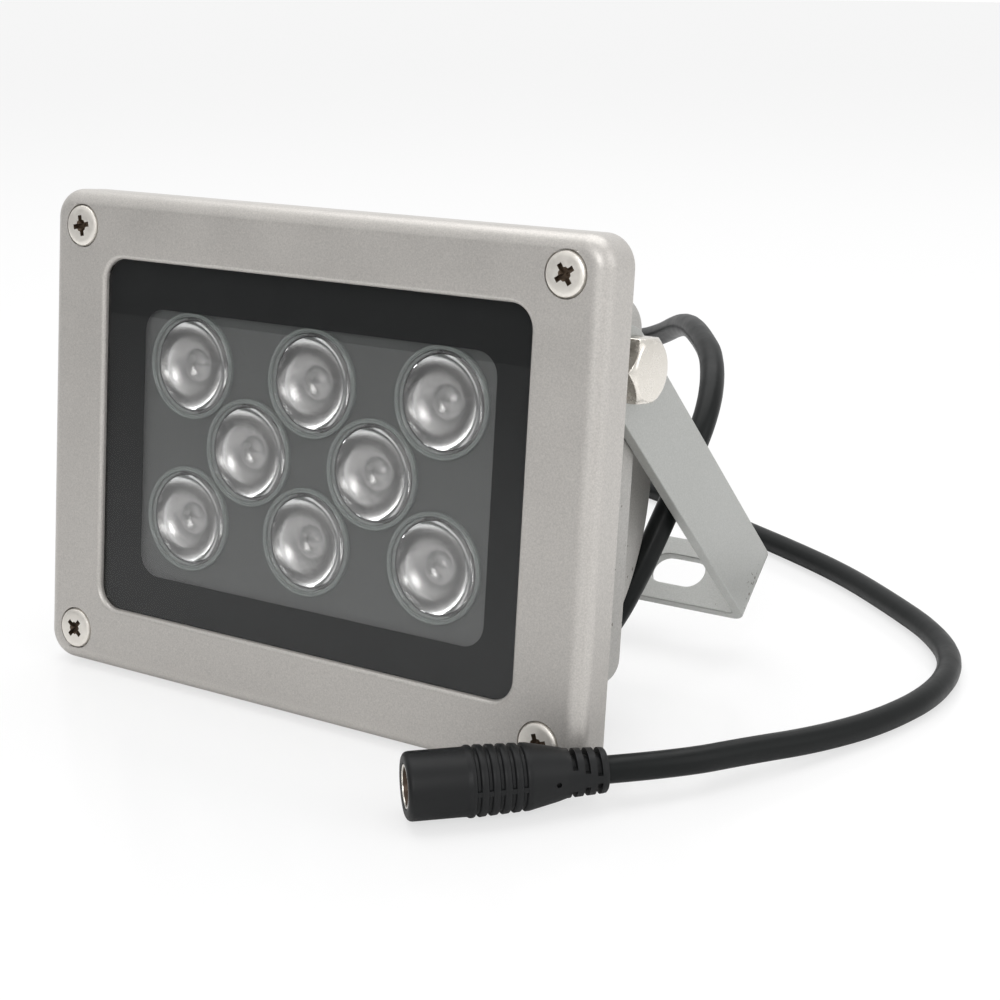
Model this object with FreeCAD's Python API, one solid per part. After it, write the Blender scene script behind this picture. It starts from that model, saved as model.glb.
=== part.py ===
import FreeCAD, Part
import math
import os

from FreeCAD import Vector

# Lengths are millimetres. Until the last step the lamp is built square to its own axes:
# X to the right, Y backwards, Z up, with the middle of the frame's front plane at the origin.

# Front frame
FRAME_WIDTH = 114.0
FRAME_HEIGHT = 84.4
FRAME_DEPTH = 7.5
FRAME_CORNER = 5.1
FRAME_WALL = 2.4
FRONT_ROUNDING = 3.0
WINDOW_WIDTH = 88.24
WINDOW_HEIGHT = 61.9
WINDOW_CORNER = 4.0
LIP_THICKNESS = 1.1
LIP_ROUNDING = 0.8

# Window glass and gasket
GLASS_LAP = 1.7
GLASS_THICKNESS = 3.0
GLASS_CORNER = 3.0
GLASS_CLEARANCE = 0.25
GASKET_THICKNESS = 0.7
GASKET_LAP = 3.0
SEAT_CLEARANCE = 0.3

# Frame screws
SCREW_SPREAD_X = 49.65
SCREW_SPREAD_Z = 36.0
SCREW_HEAD_RADIUS = 3.5
SCREW_HEAD_HEIGHT = 1.9
SCREW_PROUD = 0.44
SCREW_SHANK_RADIUS = 1.75
SCREW_LENGTH = 9.4
SCREW_SEAT_CLEARANCE = 0.25
THREAD_CLEARANCE = 0.05
CROSS_LENGTH = 3.6
CROSS_WIDTH = 0.8
CROSS_DEPTH = 1.1

# Rear housing
FLANGE_THICKNESS = 2.5
BODY_WIDTH = 100.0
BODY_HEIGHT = 64.3
BODY_CORNER = 5.5
BODY_BACK = 23.5
BODY_WALL = 4.0
BACK_WALL = 2.5
BOSS_RADIUS = 3.5
BOSS_END = 12.0
CAST_ROUNDING = 0.8
PLATE_LEDGE = 1.3

# Arched cooling fins
FIN_SPAN = 88.0
FIN_COUNT = 11
FIN_THICKNESS = 2.2
FIN_RADIUS = 35.5
FIN_CENTRE_Y = 4.5
FIN_DEPTH = 8.0
CORE_WALL = 3.0

# Lenses and emitters
LENS_PITCH = 26.2
LENS_ROW = 13.3
ARRAY_X = -0.14
ARRAY_Z = 0.52
HOLDER_RING_RADIUS = 9.13
HOLDER_RING_HEIGHT = 0.65
HOLDER_RADIUS = 8.5
HOLDER_WALL = 0.6
HOLDER_PLATE_GAP = 0.1
LENS_RADIUS = 8.28
LENS_RIM = 0.6
LENS_DOME = 0.2
LENS_SHOULDER = 0.5
LENS_TAIL_RADIUS = 3.9
LENS_CLEARANCE = 0.1
GLASS_GAP = 0.25
POCKET_RADIUS = 2.9
POCKET_DEPTH = 2.7
PLATE_THICKNESS = 1.5
BOARD_WIDTH = 74.0
BOARD_HEIGHT = 51.0
BOARD_THICKNESS = 1.6
HOLDER_LENGTH = 8.6
LED_BASE_RADIUS = 3.4
LED_BASE_HEIGHT = 1.1
LED_DOME_RADIUS = 2.4

# Driver board and inner fasteners
PILLAR_SPREAD = 30.0
PILLAR_RADIUS = 3.5
DRIVER_WIDTH = 52.0
DRIVER_HEIGHT = 26.0
DRIVER_GAP = 3.8
DRIVER_BOSS_SPREAD = 20.0
DRIVER_BOSS_RADIUS = 3.0
SMALL_SCREW_RADIUS = 1.25
SMALL_HEAD_RADIUS = 2.4
SMALL_HEAD_HEIGHT = 1.8
SMALL_SCREW_LENGTH = 6.0
COIL_RADIUS = 4.0
COIL_HEIGHT = 4.5
CAPACITOR_RADIUS = 3.15
CAPACITOR_HEIGHT = 5.4
CAPACITOR_X = 11.0
CORE_RADIUS = 0.7
CORE_LANDING = 3.0

# Bracket and its bolts
STRIP_WIDTH = 13.2
STRIP_THICKNESS = 2.0
JOINT_GAP = 0.15
BOLT_Y = 15.8
BOLT_Z = 21.3
BOLT_RADIUS = 3.0
BOLT_LENGTH = 10.0
BOLT_HEAD_FLATS = 10.0
BOLT_HEAD_HEIGHT = 4.2
HINGE_CLEARANCE = 0.05
THREAD_BOSS_RADIUS = 6.3
BRACKET_REACH = 68.0
BRACKET_ANGLE = -39.8
BEND_RADIUS = 3.0
SLOT_SPREAD = 36.0
SLOT_LENGTH = 11.0
SLOT_WIDTH = 6.0
CENTRE_HOLE_RADIUS = 3.25

# Cable gland
GLAND_FIN = 3
GLAND_Z = 14.0
GLAND_BOSS_RADIUS = 9.0
GLAND_BOSS_BACK = 40.5
GLAND_FLATS = 15.0
GLAND_HEX_HEIGHT = 4.5
GLAND_STUD_RADIUS = 5.6
GLAND_STUD_HEIGHT = 4.0
GLAND_THREAD_LENGTH = 8.0
WIRE_HOLE_RADIUS = 4.5
GLAND_CAP_RADIUS = 7.2
GLAND_CAP_LENGTH = 11.5
GLAND_MOUTH_RADIUS = 3.6
GLAND_SEAL_HEIGHT = 4.5

# Cord and its socket
CORD_DIAMETER = 4.3
CORD_BORE_CLEARANCE = 0.1
SOCKET_RADIUS = 5.2
SOCKET_HEAD_LENGTH = 9.3
GRIP_RADIUS = 5.6
GRIP_LENGTH = 9.3
GRIP_RINGS = 5
RING_GROOVE = 0.45
RELIEF_TAPER = 5.1
RELIEF_RADIUS = 3.7
RELIEF_LENGTH = 5.7
RELIEF_FLANGE = 1.2
RELIEF_SLOT = 1.1
RELIEF_CORE_RADIUS = 2.5
SLEEVE_RADIUS = 3.95
SLEEVE_WALL = 0.8
SLEEVE_DEPTH = 9.6
PIN_RADIUS = 1.0
PIN_RECESS = 0.9
INSULATOR_LENGTH = 3.0

# How the lamp stands: it leans back on the lower edge of its frame
LEAN_ANGLE = 6.64

# Places worked out from the sizes above
GLASS_FRONT = LIP_THICKNESS
GLASS_BACK = GLASS_FRONT + GLASS_THICKNESS
HOUSING_FRONT = GLASS_BACK + GASKET_THICKNESS
GLASS_WIDTH = WINDOW_WIDTH + 2 * GLASS_LAP
GLASS_HEIGHT = WINDOW_HEIGHT + 2 * GLASS_LAP
FLANGE_WIDTH = FRAME_WIDTH - 2 * FRAME_WALL - 2 * SEAT_CLEARANCE
FLANGE_HEIGHT = FRAME_HEIGHT - 2 * FRAME_WALL - 2 * SEAT_CLEARANCE
FLANGE_CORNER = FRAME_CORNER - FRAME_WALL - SEAT_CLEARANCE
CAVITY_WIDTH = BODY_WIDTH - 2 * BODY_WALL
CAVITY_HEIGHT = BODY_HEIGHT - 2 * BODY_WALL
CAVITY_BACK = BODY_BACK - BACK_WALL
LEDGE_WIDTH = CAVITY_WIDTH + 2 * PLATE_LEDGE
LEDGE_HEIGHT = CAVITY_HEIGHT + 2 * PLATE_LEDGE
HOLDER_FRONT = GLASS_BACK + GLASS_GAP
PLATE_FRONT = HOLDER_FRONT + HOLDER_RING_HEIGHT
PLATE_BACK = PLATE_FRONT + PLATE_THICKNESS
BOARD_FRONT = PLATE_FRONT + HOLDER_LENGTH
BOARD_BACK = BOARD_FRONT + BOARD_THICKNESS
DRIVER_FRONT = BOARD_BACK + DRIVER_GAP
DRIVER_BACK = DRIVER_FRONT + BOARD_THICKNESS
CORE_OUTER = FIN_RADIUS - FIN_DEPTH
CORE_INNER = CORE_OUTER - CORE_WALL
FIN_PITCH = (FIN_SPAN - FIN_THICKNESS) / (FIN_COUNT - 1)
GLAND_X = -GLAND_FIN * FIN_PITCH
GLAND_BACK = GLAND_BOSS_BACK + GLAND_HEX_HEIGHT + GLAND_CAP_LENGTH
GLAND_BORE = CORD_DIAMETER / 2 + CORD_BORE_CLEARANCE
GLAND_SEAL_FRONT = GLAND_BOSS_BACK + GLAND_HEX_HEIGHT + GLAND_STUD_HEIGHT
LEG_INNER = BODY_WIDTH / 2 + JOINT_GAP
LEG_OUTER = LEG_INNER + STRIP_THICKNESS
HEAD_INNER = LEG_OUTER + JOINT_GAP
SOCKET_LENGTH = SOCKET_HEAD_LENGTH + GRIP_LENGTH + RELIEF_TAPER + RELIEF_LENGTH + RELIEF_FLANGE

SCREW_PLACES = [
    (side * SCREW_SPREAD_X, level * SCREW_SPREAD_Z) for level in (1, -1) for side in (-1, 1)
]
LENS_PLACES = [(ARRAY_X + column * LENS_PITCH, ARRAY_Z + LENS_ROW) for column in (-1, 0, 1)]
LENS_PLACES += [(ARRAY_X + half * LENS_PITCH / 2, ARRAY_Z) for half in (-1, 1)]
LENS_PLACES += [(ARRAY_X + column * LENS_PITCH, ARRAY_Z - LENS_ROW) for column in (-1, 0, 1)]

# The cord's free route, in the finished part's frame. It leaves the gland, turns back in a
# loop through the bracket, drops beside the fins to the ground, goes under the housing and
# round behind the lamp, and comes forward on the right to the socket.
CORD_ROUTE = [
    (-25.74, 32.0, 49.38),
    (-27.2, 43.0, 48.8),
    (-30.0, 54.0, 48.6),
    (-28.5, 65.5, 48.2),
    (-21.5, 75.0, 47.6),
    (-10.5, 79.5, 47.2),
    (1.0, 77.0, 47.8),
    (10.5, 70.0, 49.9),
    (18.5, 61.8, 52.7),
    (25.9, 53.0, 54.7),
    (32.8, 44.4, 55.2),
    (41.0, 34.2, 53.8),
    (46.4, 22.6, 48.4),
    (47.1, 12.8, 38.9),
    (47.1, 6.6, 33.6),
    (47.2, -0.5, 29.5),
    (47.4, -4.6, 22.9),
    (47.4, -5.4, 13.4),
    (43.7, -6.0, 6.4),
    (37.0, -8.2, 2.15),
    (26.0, -13.4, 2.15),
    (10.0, -17.8, 2.15),
    (-12.0, -20.6, 2.15),
    (-35.0, -21.6, 2.15),
    (-56.0, -19.4, 2.15),
    (-71.5, -9.5, 2.15),
    (-80.0, 9.5, 2.15),
    (-82.0, 31.5, 2.15),
    (-81.5, 54.0, 2.15),
    (-76.0, 76.5, 2.15),
    (-66.0, 96.0, 2.15),
    (-50.0, 111.5, 2.15),
    (-30.5, 118.0, 2.15),
    (-9.5, 110.8, 2.15),
    (12.0, 98.0, 2.15),
    (31.0, 88.4, 2.15),
    (47.5, 79.0, 2.15),
    (62.5, 67.6, 2.15),
    (76.0, 56.2, 2.15),
    (85.0, 43.5, 2.15),
    (88.0, 28.0, 2.15),
    (85.6, 12.0, 2.2),
    (80.6, -2.5, 2.9),
    (74.6, -15.5, 4.2),
    (69.74, -27.41, 5.33),
]
SOCKET_FACE = (40.2, -58.1, 5.85)
SOCKET_HEADING = 46.1
SOCKET_DIP = 0.7


def rod(radius, start, end, x, z):
    """A round bar along Y from start to end."""
    return Part.makeCylinder(radius, end - start, Vector(x, start, z), Vector(0, 1, 0))


def slab(width, height, corner, start, end):
    """A block along Y, centred on the lamp's axis, with its four long edges rounded."""
    block = Part.makeBox(width, end - start, height, Vector(-width / 2, start, -height / 2))
    long_edges = [edge for edge in block.Edges if abs(edge.tangentAt(edge.FirstParameter).y) > 0.9]
    return block.makeFillet(corner, long_edges)


def turned(profile, x, z):
    """A solid turned about an axis along Y through x and z, from (radius, y) points."""
    points = [Vector(radius, y, 0) for radius, y in profile]
    face = Part.Face(Part.makePolygon(points + points[:1]))
    solid = face.revolve(Vector(0, 0, 0), Vector(0, 1, 0), 360)
    solid.translate(Vector(x, 0, z))
    return solid


def edges_at_depth(shape, y):
    """The edges of a shape that lie wholly in the plane at depth y."""
    return [
        edge for edge in shape.Edges
        if abs(edge.BoundBox.YMin - y) < 1e-3 and abs(edge.BoundBox.YMax - y) < 1e-3
    ]


def hexagon(flats, height):
    """A hexagonal prism along Z with two of its flats facing Y."""
    corner = flats / 2 / math.cos(math.radians(30))
    points = [
        Vector(corner * math.cos(math.radians(60 * i)), corner * math.sin(math.radians(60 * i)), 0)
        for i in range(7)
    ]
    return Part.Face(Part.makePolygon(points)).extrude(Vector(0, 0, height))


def front_frame():
    """Die-cast front frame: rounded front, window with a thin lip, glass seat, skirt and screw seats."""
    frame = slab(FRAME_WIDTH, FRAME_HEIGHT, FRAME_CORNER, 0, FRAME_DEPTH)
    frame = frame.makeFillet(FRONT_ROUNDING, edges_at_depth(frame, 0))
    frame = frame.cut(slab(WINDOW_WIDTH, WINDOW_HEIGHT, WINDOW_CORNER, -1, FRAME_DEPTH + 1))
    window_edges = [
        edge for edge in edges_at_depth(frame, 0)
        if abs(edge.BoundBox.Center.x) <= WINDOW_WIDTH / 2 + 0.01
        and abs(edge.BoundBox.Center.z) <= WINDOW_HEIGHT / 2 + 0.01
    ]
    frame = frame.makeFillet(LIP_ROUNDING, window_edges)
    glass_seat = slab(
        GLASS_WIDTH + 2 * GLASS_CLEARANCE,
        GLASS_HEIGHT + 2 * GLASS_CLEARANCE,
        GLASS_CORNER + GLASS_CLEARANCE,
        GLASS_FRONT,
        FRAME_DEPTH + 1,
    )
    skirt_room = slab(
        FRAME_WIDTH - 2 * FRAME_WALL,
        FRAME_HEIGHT - 2 * FRAME_WALL,
        FRAME_CORNER - FRAME_WALL,
        GLASS_BACK,
        FRAME_DEPTH + 1,
    )
    frame = frame.cut(glass_seat).cut(skirt_room)
    for x, z in SCREW_PLACES:
        seat_depth = SCREW_HEAD_HEIGHT - SCREW_PROUD
        frame = frame.cut(rod(SCREW_HEAD_RADIUS + SCREW_SEAT_CLEARANCE, -1, seat_depth, x, z))
        frame = frame.cut(rod(SCREW_SHANK_RADIUS + SCREW_SEAT_CLEARANCE, -1, FRAME_DEPTH, x, z))
    return frame


def frame_screws():
    """Four flat-headed screws with a cross recess, seated in the frame and threaded into the housing."""
    screws = []
    for x, z in SCREW_PLACES:
        front = -SCREW_PROUD
        under_head = front + SCREW_HEAD_HEIGHT
        head = rod(SCREW_HEAD_RADIUS, front, under_head, x, z)
        head = head.makeFillet(0.5, [edges_at_depth(head, front)[0]])
        screw = head.fuse(rod(SCREW_SHANK_RADIUS, under_head, under_head + SCREW_LENGTH, x, z))
        for length, width in ((CROSS_LENGTH, CROSS_WIDTH), (CROSS_WIDTH, CROSS_LENGTH)):
            corner = Vector(x - length / 2, front - 1, z - width / 2)
            screw = screw.cut(Part.makeBox(length, CROSS_DEPTH + 1, width, corner))
        screws.append(screw.removeSplitter())
    return Part.makeCompound(screws)


def front_glass():
    """Flat toughened window, seated against the frame's lip from behind."""
    return slab(GLASS_WIDTH, GLASS_HEIGHT, GLASS_CORNER, GLASS_FRONT, GLASS_BACK)


def sealing_gasket():
    """Flat silicone gasket that lies on the glass's margin and fills the frame out to its skirt."""
    gasket = slab(FLANGE_WIDTH, FLANGE_HEIGHT, FLANGE_CORNER, GLASS_BACK, HOUSING_FRONT)
    opening = slab(
        GLASS_WIDTH - 2 * GASKET_LAP,
        GLASS_HEIGHT - 2 * GASKET_LAP,
        GLASS_CORNER,
        GLASS_BACK - 1,
        HOUSING_FRONT + 1,
    )
    gasket = gasket.cut(opening)
    for x, z in SCREW_PLACES:
        radius = SCREW_SHANK_RADIUS + SCREW_SEAT_CLEARANCE
        gasket = gasket.cut(rod(radius, GLASS_BACK - 1, HOUSING_FRONT + 1, x, z))
    return gasket


def fin(x):
    """One arched cooling fin, standing on the housing's back at x."""
    reach = math.sqrt(FIN_RADIUS ** 2 - (BODY_BACK - BACK_WALL - FIN_CENTRE_Y) ** 2)
    left = Vector(x - FIN_THICKNESS / 2, BODY_BACK - BACK_WALL, -reach)
    right = Vector(x - FIN_THICKNESS / 2, BODY_BACK - BACK_WALL, reach)
    crown = Vector(x - FIN_THICKNESS / 2, FIN_CENTRE_Y + FIN_RADIUS, 0)
    outline = Part.Wire([Part.Arc(left, crown, right).toShape(), Part.makeLine(right, left)])
    return Part.Face(outline).extrude(Vector(FIN_THICKNESS, 0, 0))


def arched_core(radius, half_length):
    """The half-round body that the fins stand on, as wide as twice half_length."""
    start = Vector(-half_length, FIN_CENTRE_Y, 0)
    drum = Part.makeCylinder(radius, 2 * half_length, start, Vector(1, 0, 0))
    behind = CAVITY_BACK - 0.5
    room = Part.makeBox(
        2 * half_length, 2 * radius, 2 * radius, Vector(-half_length, behind, -radius)
    )
    return drum.common(room)


def rear_housing():
    """Die-cast housing: flange, screw bosses, body, arched core with fins, bolt and gland bosses, cavity."""
    flange_back = HOUSING_FRONT + FLANGE_THICKNESS
    housing = slab(FLANGE_WIDTH, FLANGE_HEIGHT, FLANGE_CORNER, HOUSING_FRONT, flange_back)
    body = slab(BODY_WIDTH, BODY_HEIGHT, BODY_CORNER, HOUSING_FRONT, BODY_BACK)
    body = body.makeFillet(CAST_ROUNDING, edges_at_depth(body, BODY_BACK))
    housing = housing.fuse(body)
    for x, z in SCREW_PLACES:
        housing = housing.fuse(rod(BOSS_RADIUS, HOUSING_FRONT, BOSS_END, x, z))
    core_half = FIN_SPAN / 2 - FIN_THICKNESS / 2
    housing = housing.fuse(arched_core(CORE_OUTER, core_half))
    first_fin = -FIN_SPAN / 2 + FIN_THICKNESS / 2
    fins = [fin(first_fin + i * FIN_PITCH) for i in range(FIN_COUNT)]
    housing = housing.fuse(fins)
    housing = housing.fuse(
        rod(GLAND_BOSS_RADIUS, CAVITY_BACK, GLAND_BOSS_BACK, GLAND_X, GLAND_Z)
    )
    housing = housing.cut(
        slab(LEDGE_WIDTH, LEDGE_HEIGHT, BODY_CORNER / 2, HOUSING_FRONT - 1, PLATE_BACK)
    )
    housing = housing.cut(
        slab(CAVITY_WIDTH, CAVITY_HEIGHT, BODY_CORNER / 2, HOUSING_FRONT - 1, CAVITY_BACK)
    )
    housing = housing.cut(arched_core(CORE_INNER, core_half - CORE_WALL))
    for side in (-1, 1):
        inner = HEAD_INNER - BOLT_LENGTH - 2
        length = BODY_WIDTH / 2 - 1 - inner
        housing = housing.fuse(
            Part.makeCylinder(
                THREAD_BOSS_RADIUS, length, Vector(side * inner, BOLT_Y, BOLT_Z), Vector(side, 0, 0)
            )
        )
        boss_end = FIN_CENTRE_Y + CORE_INNER + CORE_WALL / 2
        housing = housing.fuse(
            rod(PILLAR_RADIUS, BOARD_BACK, boss_end, side * PILLAR_SPREAD, ARRAY_Z)
        )
        housing = housing.fuse(
            rod(DRIVER_BOSS_RADIUS, DRIVER_BACK, boss_end, side * DRIVER_BOSS_SPREAD, 0)
        )
        housing = housing.cut(
            rod(
                SMALL_SCREW_RADIUS + THREAD_CLEARANCE,
                BOARD_BACK - 1,
                BOARD_FRONT + SMALL_SCREW_LENGTH + 0.4,
                side * PILLAR_SPREAD,
                ARRAY_Z,
            )
        )
        housing = housing.cut(
            rod(
                SMALL_SCREW_RADIUS + THREAD_CLEARANCE,
                DRIVER_BACK - 1,
                DRIVER_FRONT + SMALL_SCREW_LENGTH + 0.4,
                side * DRIVER_BOSS_SPREAD,
                0,
            )
        )
        bolt_end = HEAD_INNER - BOLT_LENGTH - 0.4
        housing = housing.cut(
            Part.makeCylinder(
                BOLT_RADIUS + THREAD_CLEARANCE,
                BODY_WIDTH / 2 + 1 - bolt_end,
                Vector(side * bolt_end, BOLT_Y, BOLT_Z),
                Vector(side, 0, 0),
            )
        )
    for x, z in SCREW_PLACES:
        screw_end = SCREW_HEAD_HEIGHT - SCREW_PROUD + SCREW_LENGTH + 0.3
        housing = housing.cut(
            rod(SCREW_SHANK_RADIUS + THREAD_CLEARANCE, HOUSING_FRONT - 1, screw_end, x, z)
        )
    gland_inner = GLAND_BOSS_BACK - GLAND_THREAD_LENGTH
    housing = housing.cut(
        rod(GLAND_STUD_RADIUS + THREAD_CLEARANCE, gland_inner, GLAND_BOSS_BACK + 1, GLAND_X, GLAND_Z)
    )
    housing = housing.cut(rod(WIRE_HOLE_RADIUS, CAVITY_BACK, GLAND_BOSS_BACK, GLAND_X, GLAND_Z))
    return housing.removeSplitter()


def lens_plate():
    """Dark plate on the housing's ledge, with one hole for each lens holder."""
    gap = SEAT_CLEARANCE
    plate = slab(
        LEDGE_WIDTH - 2 * gap, LEDGE_HEIGHT - 2 * gap, BODY_CORNER / 2, PLATE_FRONT, PLATE_BACK
    )
    for x, z in LENS_PLACES:
        plate = plate.cut(rod(HOLDER_RADIUS + HOLDER_PLATE_GAP, PLATE_FRONT - 1, PLATE_BACK + 1, x, z))
    return plate


def lens_holder(x, z):
    """Ring and tube that hold one lens over its emitter and stand on the emitter board."""
    bore = HOLDER_RADIUS - HOLDER_WALL
    seat = HOLDER_FRONT + LENS_RIM + LENS_CLEARANCE * 2
    profile = [
        (LENS_RADIUS + LENS_CLEARANCE, HOLDER_FRONT),
        (HOLDER_RING_RADIUS, HOLDER_FRONT),
        (HOLDER_RING_RADIUS, PLATE_FRONT),
        (HOLDER_RADIUS, PLATE_FRONT),
        (HOLDER_RADIUS, BOARD_FRONT),
        (bore, BOARD_FRONT),
        (bore, seat),
        (LENS_RADIUS + LENS_CLEARANCE, seat),
    ]
    return turned(profile, x, z)


def lens(x, z):
    """Moulded collimating lens: rimmed front with a low dome, conical back, pocket for the emitter."""
    front = HOLDER_FRONT + LENS_CLEARANCE * 2
    rim_back = front + LENS_RIM
    shoulder = HOLDER_RADIUS - HOLDER_WALL - LENS_CLEARANCE
    tail = BOARD_FRONT - LED_BASE_HEIGHT - LENS_CLEARANCE
    profile = [
        (0, front - LENS_DOME),
        (shoulder * 0.45, front - LENS_DOME * 0.8),
        (shoulder * 0.8, front - LENS_DOME * 0.3),
        (shoulder, front),
        (LENS_RADIUS, front),
        (LENS_RADIUS, rim_back),
        (shoulder, rim_back),
        (shoulder - LENS_SHOULDER, rim_back + LENS_SHOULDER),
        (LENS_TAIL_RADIUS + 1.6, tail - 3.2),
        (LENS_TAIL_RADIUS, tail),
        (POCKET_RADIUS, tail),
        (POCKET_RADIUS, tail - POCKET_DEPTH),
        (0, tail - POCKET_DEPTH - LENS_DOME),
    ]
    return turned(profile, x, z)


def led(x, z):
    """Infrared emitter: round base on the board with a small dome."""
    base_front = BOARD_FRONT - LED_BASE_HEIGHT
    base = rod(LED_BASE_RADIUS, base_front, BOARD_FRONT, x, z)
    bulb = Part.makeSphere(LED_DOME_RADIUS, Vector(x, base_front, z))
    room = Part.makeBox(
        2 * LED_DOME_RADIUS,
        LED_DOME_RADIUS,
        2 * LED_DOME_RADIUS,
        Vector(x - LED_DOME_RADIUS, base_front - LED_DOME_RADIUS, z - LED_DOME_RADIUS),
    )
    return base.fuse(bulb.common(room)).removeSplitter()


def led_board():
    """Aluminium-backed board that carries the emitters, screwed to two pillars."""
    board = slab(BOARD_WIDTH, BOARD_HEIGHT, 2, BOARD_FRONT, BOARD_BACK)
    for side in (-1, 1):
        hole = rod(
            SMALL_SCREW_RADIUS + SCREW_SEAT_CLEARANCE,
            BOARD_FRONT - 1,
            BOARD_BACK + 1,
            side * PILLAR_SPREAD,
            ARRAY_Z,
        )
        board = board.cut(hole)
    return board


def driver_board():
    """Driver board behind the emitter board, screwed to two bosses of the arched core."""
    board = slab(DRIVER_WIDTH, DRIVER_HEIGHT, 1, DRIVER_FRONT, DRIVER_BACK)
    for side in (-1, 1):
        hole = rod(
            SMALL_SCREW_RADIUS + SCREW_SEAT_CLEARANCE,
            DRIVER_FRONT - 1,
            DRIVER_BACK + 1,
            side * DRIVER_BOSS_SPREAD,
            0,
        )
        board = board.cut(hole)
    return board


def board_screws():
    """Four small pan-head screws: two for the emitter board and two for the driver board."""
    screws = []
    for seat, spread, z in (
        (BOARD_FRONT, PILLAR_SPREAD, ARRAY_Z),
        (DRIVER_FRONT, DRIVER_BOSS_SPREAD, 0),
    ):
        for side in (-1, 1):
            head = rod(SMALL_HEAD_RADIUS, seat - SMALL_HEAD_HEIGHT, seat, side * spread, z)
            shank = rod(SMALL_SCREW_RADIUS, seat, seat + SMALL_SCREW_LENGTH, side * spread, z)
            screws.append(head.fuse(shank))
    return Part.makeCompound(screws)


def inductor():
    """Drum inductor on the back of the driver board."""
    drum = rod(COIL_RADIUS, DRIVER_BACK, DRIVER_BACK + COIL_HEIGHT, 0, 0)
    waist = rod(COIL_RADIUS + 1, DRIVER_BACK + 1, DRIVER_BACK + COIL_HEIGHT - 1, 0, 0)
    winding = rod(COIL_RADIUS * 0.8, DRIVER_BACK, DRIVER_BACK + COIL_HEIGHT, 0, 0)
    return drum.cut(waist.cut(winding))


def capacitor():
    """Can capacitor on the back of the driver board."""
    return rod(CAPACITOR_RADIUS, DRIVER_BACK, DRIVER_BACK + CAPACITOR_HEIGHT, CAPACITOR_X, 0)


def board_leads():
    """Two straight links from the driver board's front to the emitter board's back."""
    links = [rod(CORE_RADIUS, BOARD_BACK, DRIVER_FRONT, x, DRIVER_HEIGHT / 4) for x in (-6, 6)]
    return Part.makeCompound(links)


def supply_leads():
    """The cord's two cores, from the end of its jacket in the gland to the driver board's back."""
    cores = []
    for side in (-1, 1):
        x = GLAND_X + side * CORE_RADIUS * 1.3
        landing = Vector(x, DRIVER_BACK, DRIVER_HEIGHT / 2 - CORE_LANDING)
        landing.x = -DRIVER_WIDTH / 2 + CORE_LANDING + side * CORE_RADIUS * 1.3
        above = landing + Vector(0, CORE_LANDING, 0)
        bend = Vector(x, DRIVER_BACK + 3 * CORE_LANDING, GLAND_Z)
        points = [Vector(x, GLAND_SEAL_FRONT, GLAND_Z), bend, above, landing]
        cores.append(tube(points, CORE_RADIUS))
    return Part.makeCompound(cores)


def strip_outline():
    """The bracket's section in X and Y: a strip folded into two legs and a base, bolt axis at Y 0."""
    def side_line(half_width, depth, radius):
        inset = radius * (1 - math.sqrt(0.5))
        left = Vector(-half_width, depth - radius, 0)
        left_middle = Vector(-half_width + inset, depth - inset, 0)
        left_end = Vector(-half_width + radius, depth, 0)
        right_end = Vector(half_width - radius, depth, 0)
        right_middle = Vector(half_width - inset, depth - inset, 0)
        right = Vector(half_width, depth - radius, 0)
        return [
            Part.makeLine(Vector(-half_width, 0, 0), left),
            Part.Arc(left, left_middle, left_end).toShape(),
            Part.makeLine(left_end, right_end),
            Part.Arc(right_end, right_middle, right).toShape(),
            Part.makeLine(right, Vector(half_width, 0, 0)),
        ]

    outer = side_line(LEG_OUTER, BRACKET_REACH, BEND_RADIUS)
    inner = side_line(LEG_INNER, BRACKET_REACH - STRIP_THICKNESS, BEND_RADIUS - STRIP_THICKNESS)
    left_end, right_end = [
        Part.makeLine(Vector(side * LEG_OUTER, 0, 0), Vector(side * LEG_INNER, 0, 0))
        for side in (-1, 1)
    ]
    return Part.Face(Part.Wire(outer + [right_end] + inner[::-1] + [left_end]))


def bracket():
    """Folded steel strip with round leg ends, a bolt hole in each leg, two slots and a centre hole."""
    strip = strip_outline().extrude(Vector(0, 0, STRIP_WIDTH))
    strip.translate(Vector(0, 0, -STRIP_WIDTH / 2))
    for side in (-1, 1):
        ear = Part.makeCylinder(
            STRIP_WIDTH / 2, STRIP_THICKNESS, Vector(side * LEG_INNER, 0, 0), Vector(side, 0, 0)
        )
        strip = strip.fuse(ear)
    bolt_hole = Part.makeCylinder(
        BOLT_RADIUS + HINGE_CLEARANCE, 2 * LEG_OUTER + 2, Vector(-LEG_OUTER - 1, 0, 0), Vector(1, 0, 0)
    )
    strip = strip.cut(bolt_hole)
    through = Vector(0, 1, 0)
    below = BRACKET_REACH - STRIP_THICKNESS - 1
    depth = STRIP_THICKNESS + 2
    strip = strip.cut(Part.makeCylinder(CENTRE_HOLE_RADIUS, depth, Vector(0, below, 0), through))
    for side in (-1, 1):
        straight = SLOT_LENGTH - SLOT_WIDTH
        centre = side * SLOT_SPREAD
        slot = Part.makeBox(
            straight, depth, SLOT_WIDTH, Vector(centre - straight / 2, below, -SLOT_WIDTH / 2)
        )
        for end in (-1, 1):
            start = Vector(centre + end * straight / 2, below, 0)
            slot = slot.fuse(Part.makeCylinder(SLOT_WIDTH / 2, depth, start, through))
        strip = strip.cut(slot)
    strip = strip.removeSplitter()
    strip.rotate(Vector(0, 0, 0), Vector(1, 0, 0), BRACKET_ANGLE)
    strip.translate(Vector(0, BOLT_Y, BOLT_Z))
    return strip


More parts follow.
